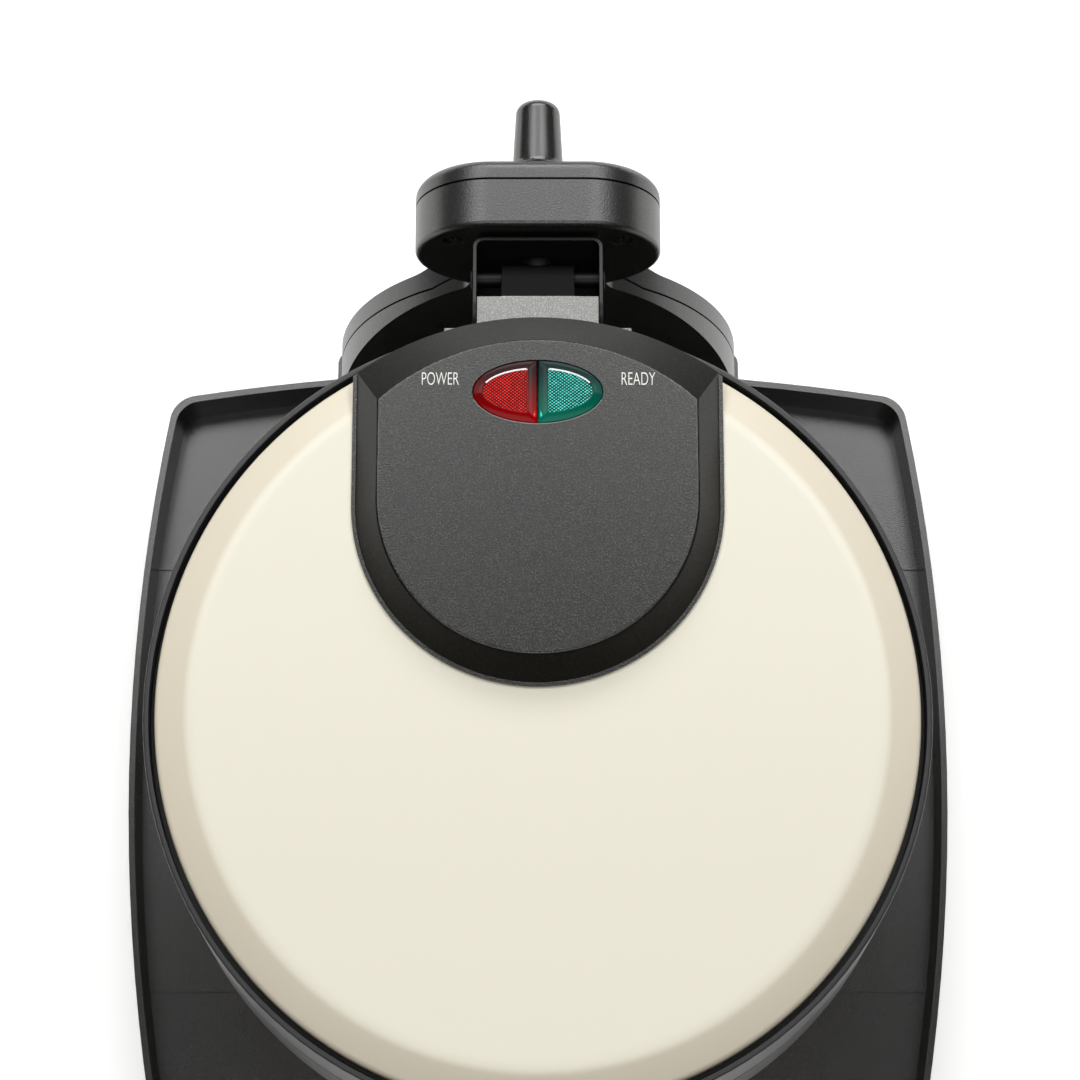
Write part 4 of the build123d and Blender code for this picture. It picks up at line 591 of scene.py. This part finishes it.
# The panel's sloped border takes a darker, duller copy of the grained finish with less grain: painted shade
# on the slope
shaded_panel_border = flecked("black_abs_panel_border", "#050504", "#2A2925", 0.3, 0.42, 0.02, gloss=0.42)
# The border is where the height part of the normal is under PANEL_FLAT; the knuckle is behind KNUCKLE_Y
PANEL_FLAT = 0.97
KNUCKLE_Y = 133.9
# Painted shade: the sloped border gets the darker copy
second_finish(panel, shaded_panel_border, lambda face: face.normal.z < PANEL_FLAT)
# Painted shade: the strap's knuckle, in the shade under the head, takes the near-black steel finish
second_finish(strap, finishes["black_steel"], lambda face: face.center.y * 1000 > KNUCKLE_Y)


# Printed words, in millimetres: the middle's y and z, the letters' height and the squeeze of their width
LABEL_Y, LABEL_Z = 103.1, 170.02
LABEL_HEIGHT, LABEL_SQUEEZE = 3.6, 0.56
# Thickness of the ink and how much thinner the strokes are, as shares of the font's size
INK_THICKNESS, STROKE_OFFSET = 0.01, -0.012
# Pad-printed ink: matt warm white
label_ink = plain("pad_print_ink", "#F6F6F0", 0.5)


def label(text, x):
    """A flat printed word: the font's outline made a mesh, squeezed in width."""
    curve = bpy.data.curves.new(text, "FONT")
    curve.body = text
    curve.align_x = "CENTER"
    curve.align_y = "CENTER"
    curve.extrude = INK_THICKNESS
    curve.offset = STROKE_OFFSET
    font = bpy.data.objects.new(text, curve)
    scene.collection.objects.link(font)
    mesh = bpy.data.meshes.new_from_object(font)
    bpy.data.objects.remove(font)
    co = np.zeros(len(mesh.vertices) * 3)
    mesh.vertices.foreach_get("co", co)
    co = co.reshape(-1, 3)
    scale = LABEL_HEIGHT / 1000 / np.ptp(co[:, 1])
    co = co * [scale * LABEL_SQUEEZE, scale, scale] + np.array([x, LABEL_Y, LABEL_Z]) / 1000
    mesh.vertices.foreach_set("co", co.ravel())
    mesh.materials.clear()
    mesh.materials.append(label_ink)
    obj = bpy.data.objects.new(text.lower() + "_label", mesh)
    scene.collection.objects.link(obj)
    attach(obj, "lid")


label("POWER", -26.6)
label("READY", 27.3)


# Camera, a little in front and high above
SENSOR_MM, FOCAL_MM = 36.0, 114.7
CAMERA_PLACE = (0.0006, -0.197, 1.058)
CAMERA_TILT = 16.0
camera_data = bpy.data.cameras.new("camera")
camera_data.sensor_width = SENSOR_MM
camera_data.lens = FOCAL_MM
camera = bpy.data.objects.new("camera", camera_data)
camera.location = CAMERA_PLACE
camera.rotation_euler = (math.radians(CAMERA_TILT), 0.0, 0.0)
scene.collection.objects.link(camera)
scene.camera = camera


def lamp(name, place, aim, size, power):
    """A flat rectangular lamp that faces the point it is aimed at."""
    data = bpy.data.lights.new(name, "AREA")
    data.shape = "RECTANGLE"
    data.size, data.size_y = size
    data.energy = power
    obj = bpy.data.objects.new(name, data)
    scene.collection.objects.link(obj)
    obj.location = place
    away = np.array(place, float) - np.array(aim, float)
    flat = math.hypot(away[0], away[1])
    obj.rotation_euler = (math.atan2(flat, away[2]), 0.0, math.atan2(away[1], away[0]) + math.pi / 2)


# Each row: name, place, the point aimed at and the two sizes, all in metres, and the power in watts
for name, place, aim, size, power in (
    ("overhead_softbox", (0.0, 1.0, 1.5), (0.0, 0.9, 0.0), (2.4, 1.0), 16.0),
    ("rear_softbox", (0.0, 2.4, 1.6), (0.0, 0.0, 0.1), (2.4, 0.8), 36.0),
    ("front_softbox", (0.0, -0.5, 1.6), (0.0, 0.0, 0.1), (1.8, 0.7), 8.5),
    ("left_strip", (-0.5, 0.75, 1.5), (-0.5, 0.74, 0.0), (0.45, 0.5), 2.0),
    ("right_strip", (0.5, 0.75, 1.5), (0.5, 0.74, 0.0), (0.45, 0.5), 2.0),
):
    lamp(name, place, aim, size, power)

# Parts of the direction between which the room changes, and the strengths at both ends
WALL_FROM_Y, WALL_TO_Y = -0.35, 0.25
SKIRTING = {"low": 0.05, "high": 0.5, "to_low": 0.03, "to_high": 0.2}
CEILING = {"low": 0.85, "high": 0.99, "to_low": 1.0, "to_high": 0.5}


def studio_world():
    """White room that turns to a dim warm wall on the camera's side, by the y part of the direction, and
    falls off towards the skirting, by its z part. The camera itself sees plain white behind the floor."""
    world = bpy.data.worlds.new("studio")
    scene.world = world
    world.use_nodes = True
    tree = world.node_tree
    parts = parts_of(tree, add(tree, "ShaderNodeTexCoord").outputs["Generated"])
    room = blend(tree, ramp(tree, parts["Y"], WALL_FROM_Y, WALL_TO_Y), "#7E6236", "#FFFFFF")
    wall, ceiling = ramp(tree, parts["Z"], **SKIRTING), ramp(tree, parts["Z"], **CEILING)
    strength = maths(tree, "MULTIPLY", wall, ceiling)
    seen = add(tree, "ShaderNodeLightPath").outputs["Is Camera Ray"]
    back = tree.nodes["Background"]
    tree.links.new(maths(tree, "MAXIMUM", strength, seen), back.inputs["Strength"])
    tree.links.new(blend(tree, seen, room, "#FFFFFF"), back.inputs["Color"])


studio_world()

# Half the floor's size, and the distances between which its glow grows, with the glow at both
FLOOR_HALF = 4.0
GLOW = {"low": 0.5, "high": 1.6, "to_low": 0.4, "to_high": 1.2}


def paper_sweep():
    """White paper that glows a little where it is seen or mirrored, and more so away from the object, so
    it runs out to plain white and keeps the object's shadow."""
    material, tree, shader = new_material("paper_sweep", "#F4F4F3", 0.9)
    ray = add(tree, "ShaderNodeLightPath").outputs
    seen = maths(tree, "MAXIMUM", ray["Is Camera Ray"], ray["Is Glossy Ray"])
    place = add(tree, "ShaderNodeTexCoord").outputs["Object"]
    length = add(tree, "ShaderNodeVectorMath", {"operation": "LENGTH"}, {0: place}).outputs["Value"]
    glow = maths(tree, "MULTIPLY", seen, ramp(tree, length, **GLOW))
    shader.inputs["Emission Color"].default_value = to_linear("#FFFFFF")
    tree.links.new(glow, shader.inputs["Emission Strength"])
    return material


floor_mesh = bpy.data.meshes.new("floor")
corners = [(x * FLOOR_HALF, y * FLOOR_HALF, 0.0) for x, y in ((-1, -1), (1, -1), (1, 1), (-1, 1))]
floor_mesh.from_pydata(corners, [], [(0, 1, 2, 3)])
floor_mesh.materials.append(paper_sweep())
floor = bpy.data.objects.new("floor", floor_mesh)
scene.collection.objects.link(floor)
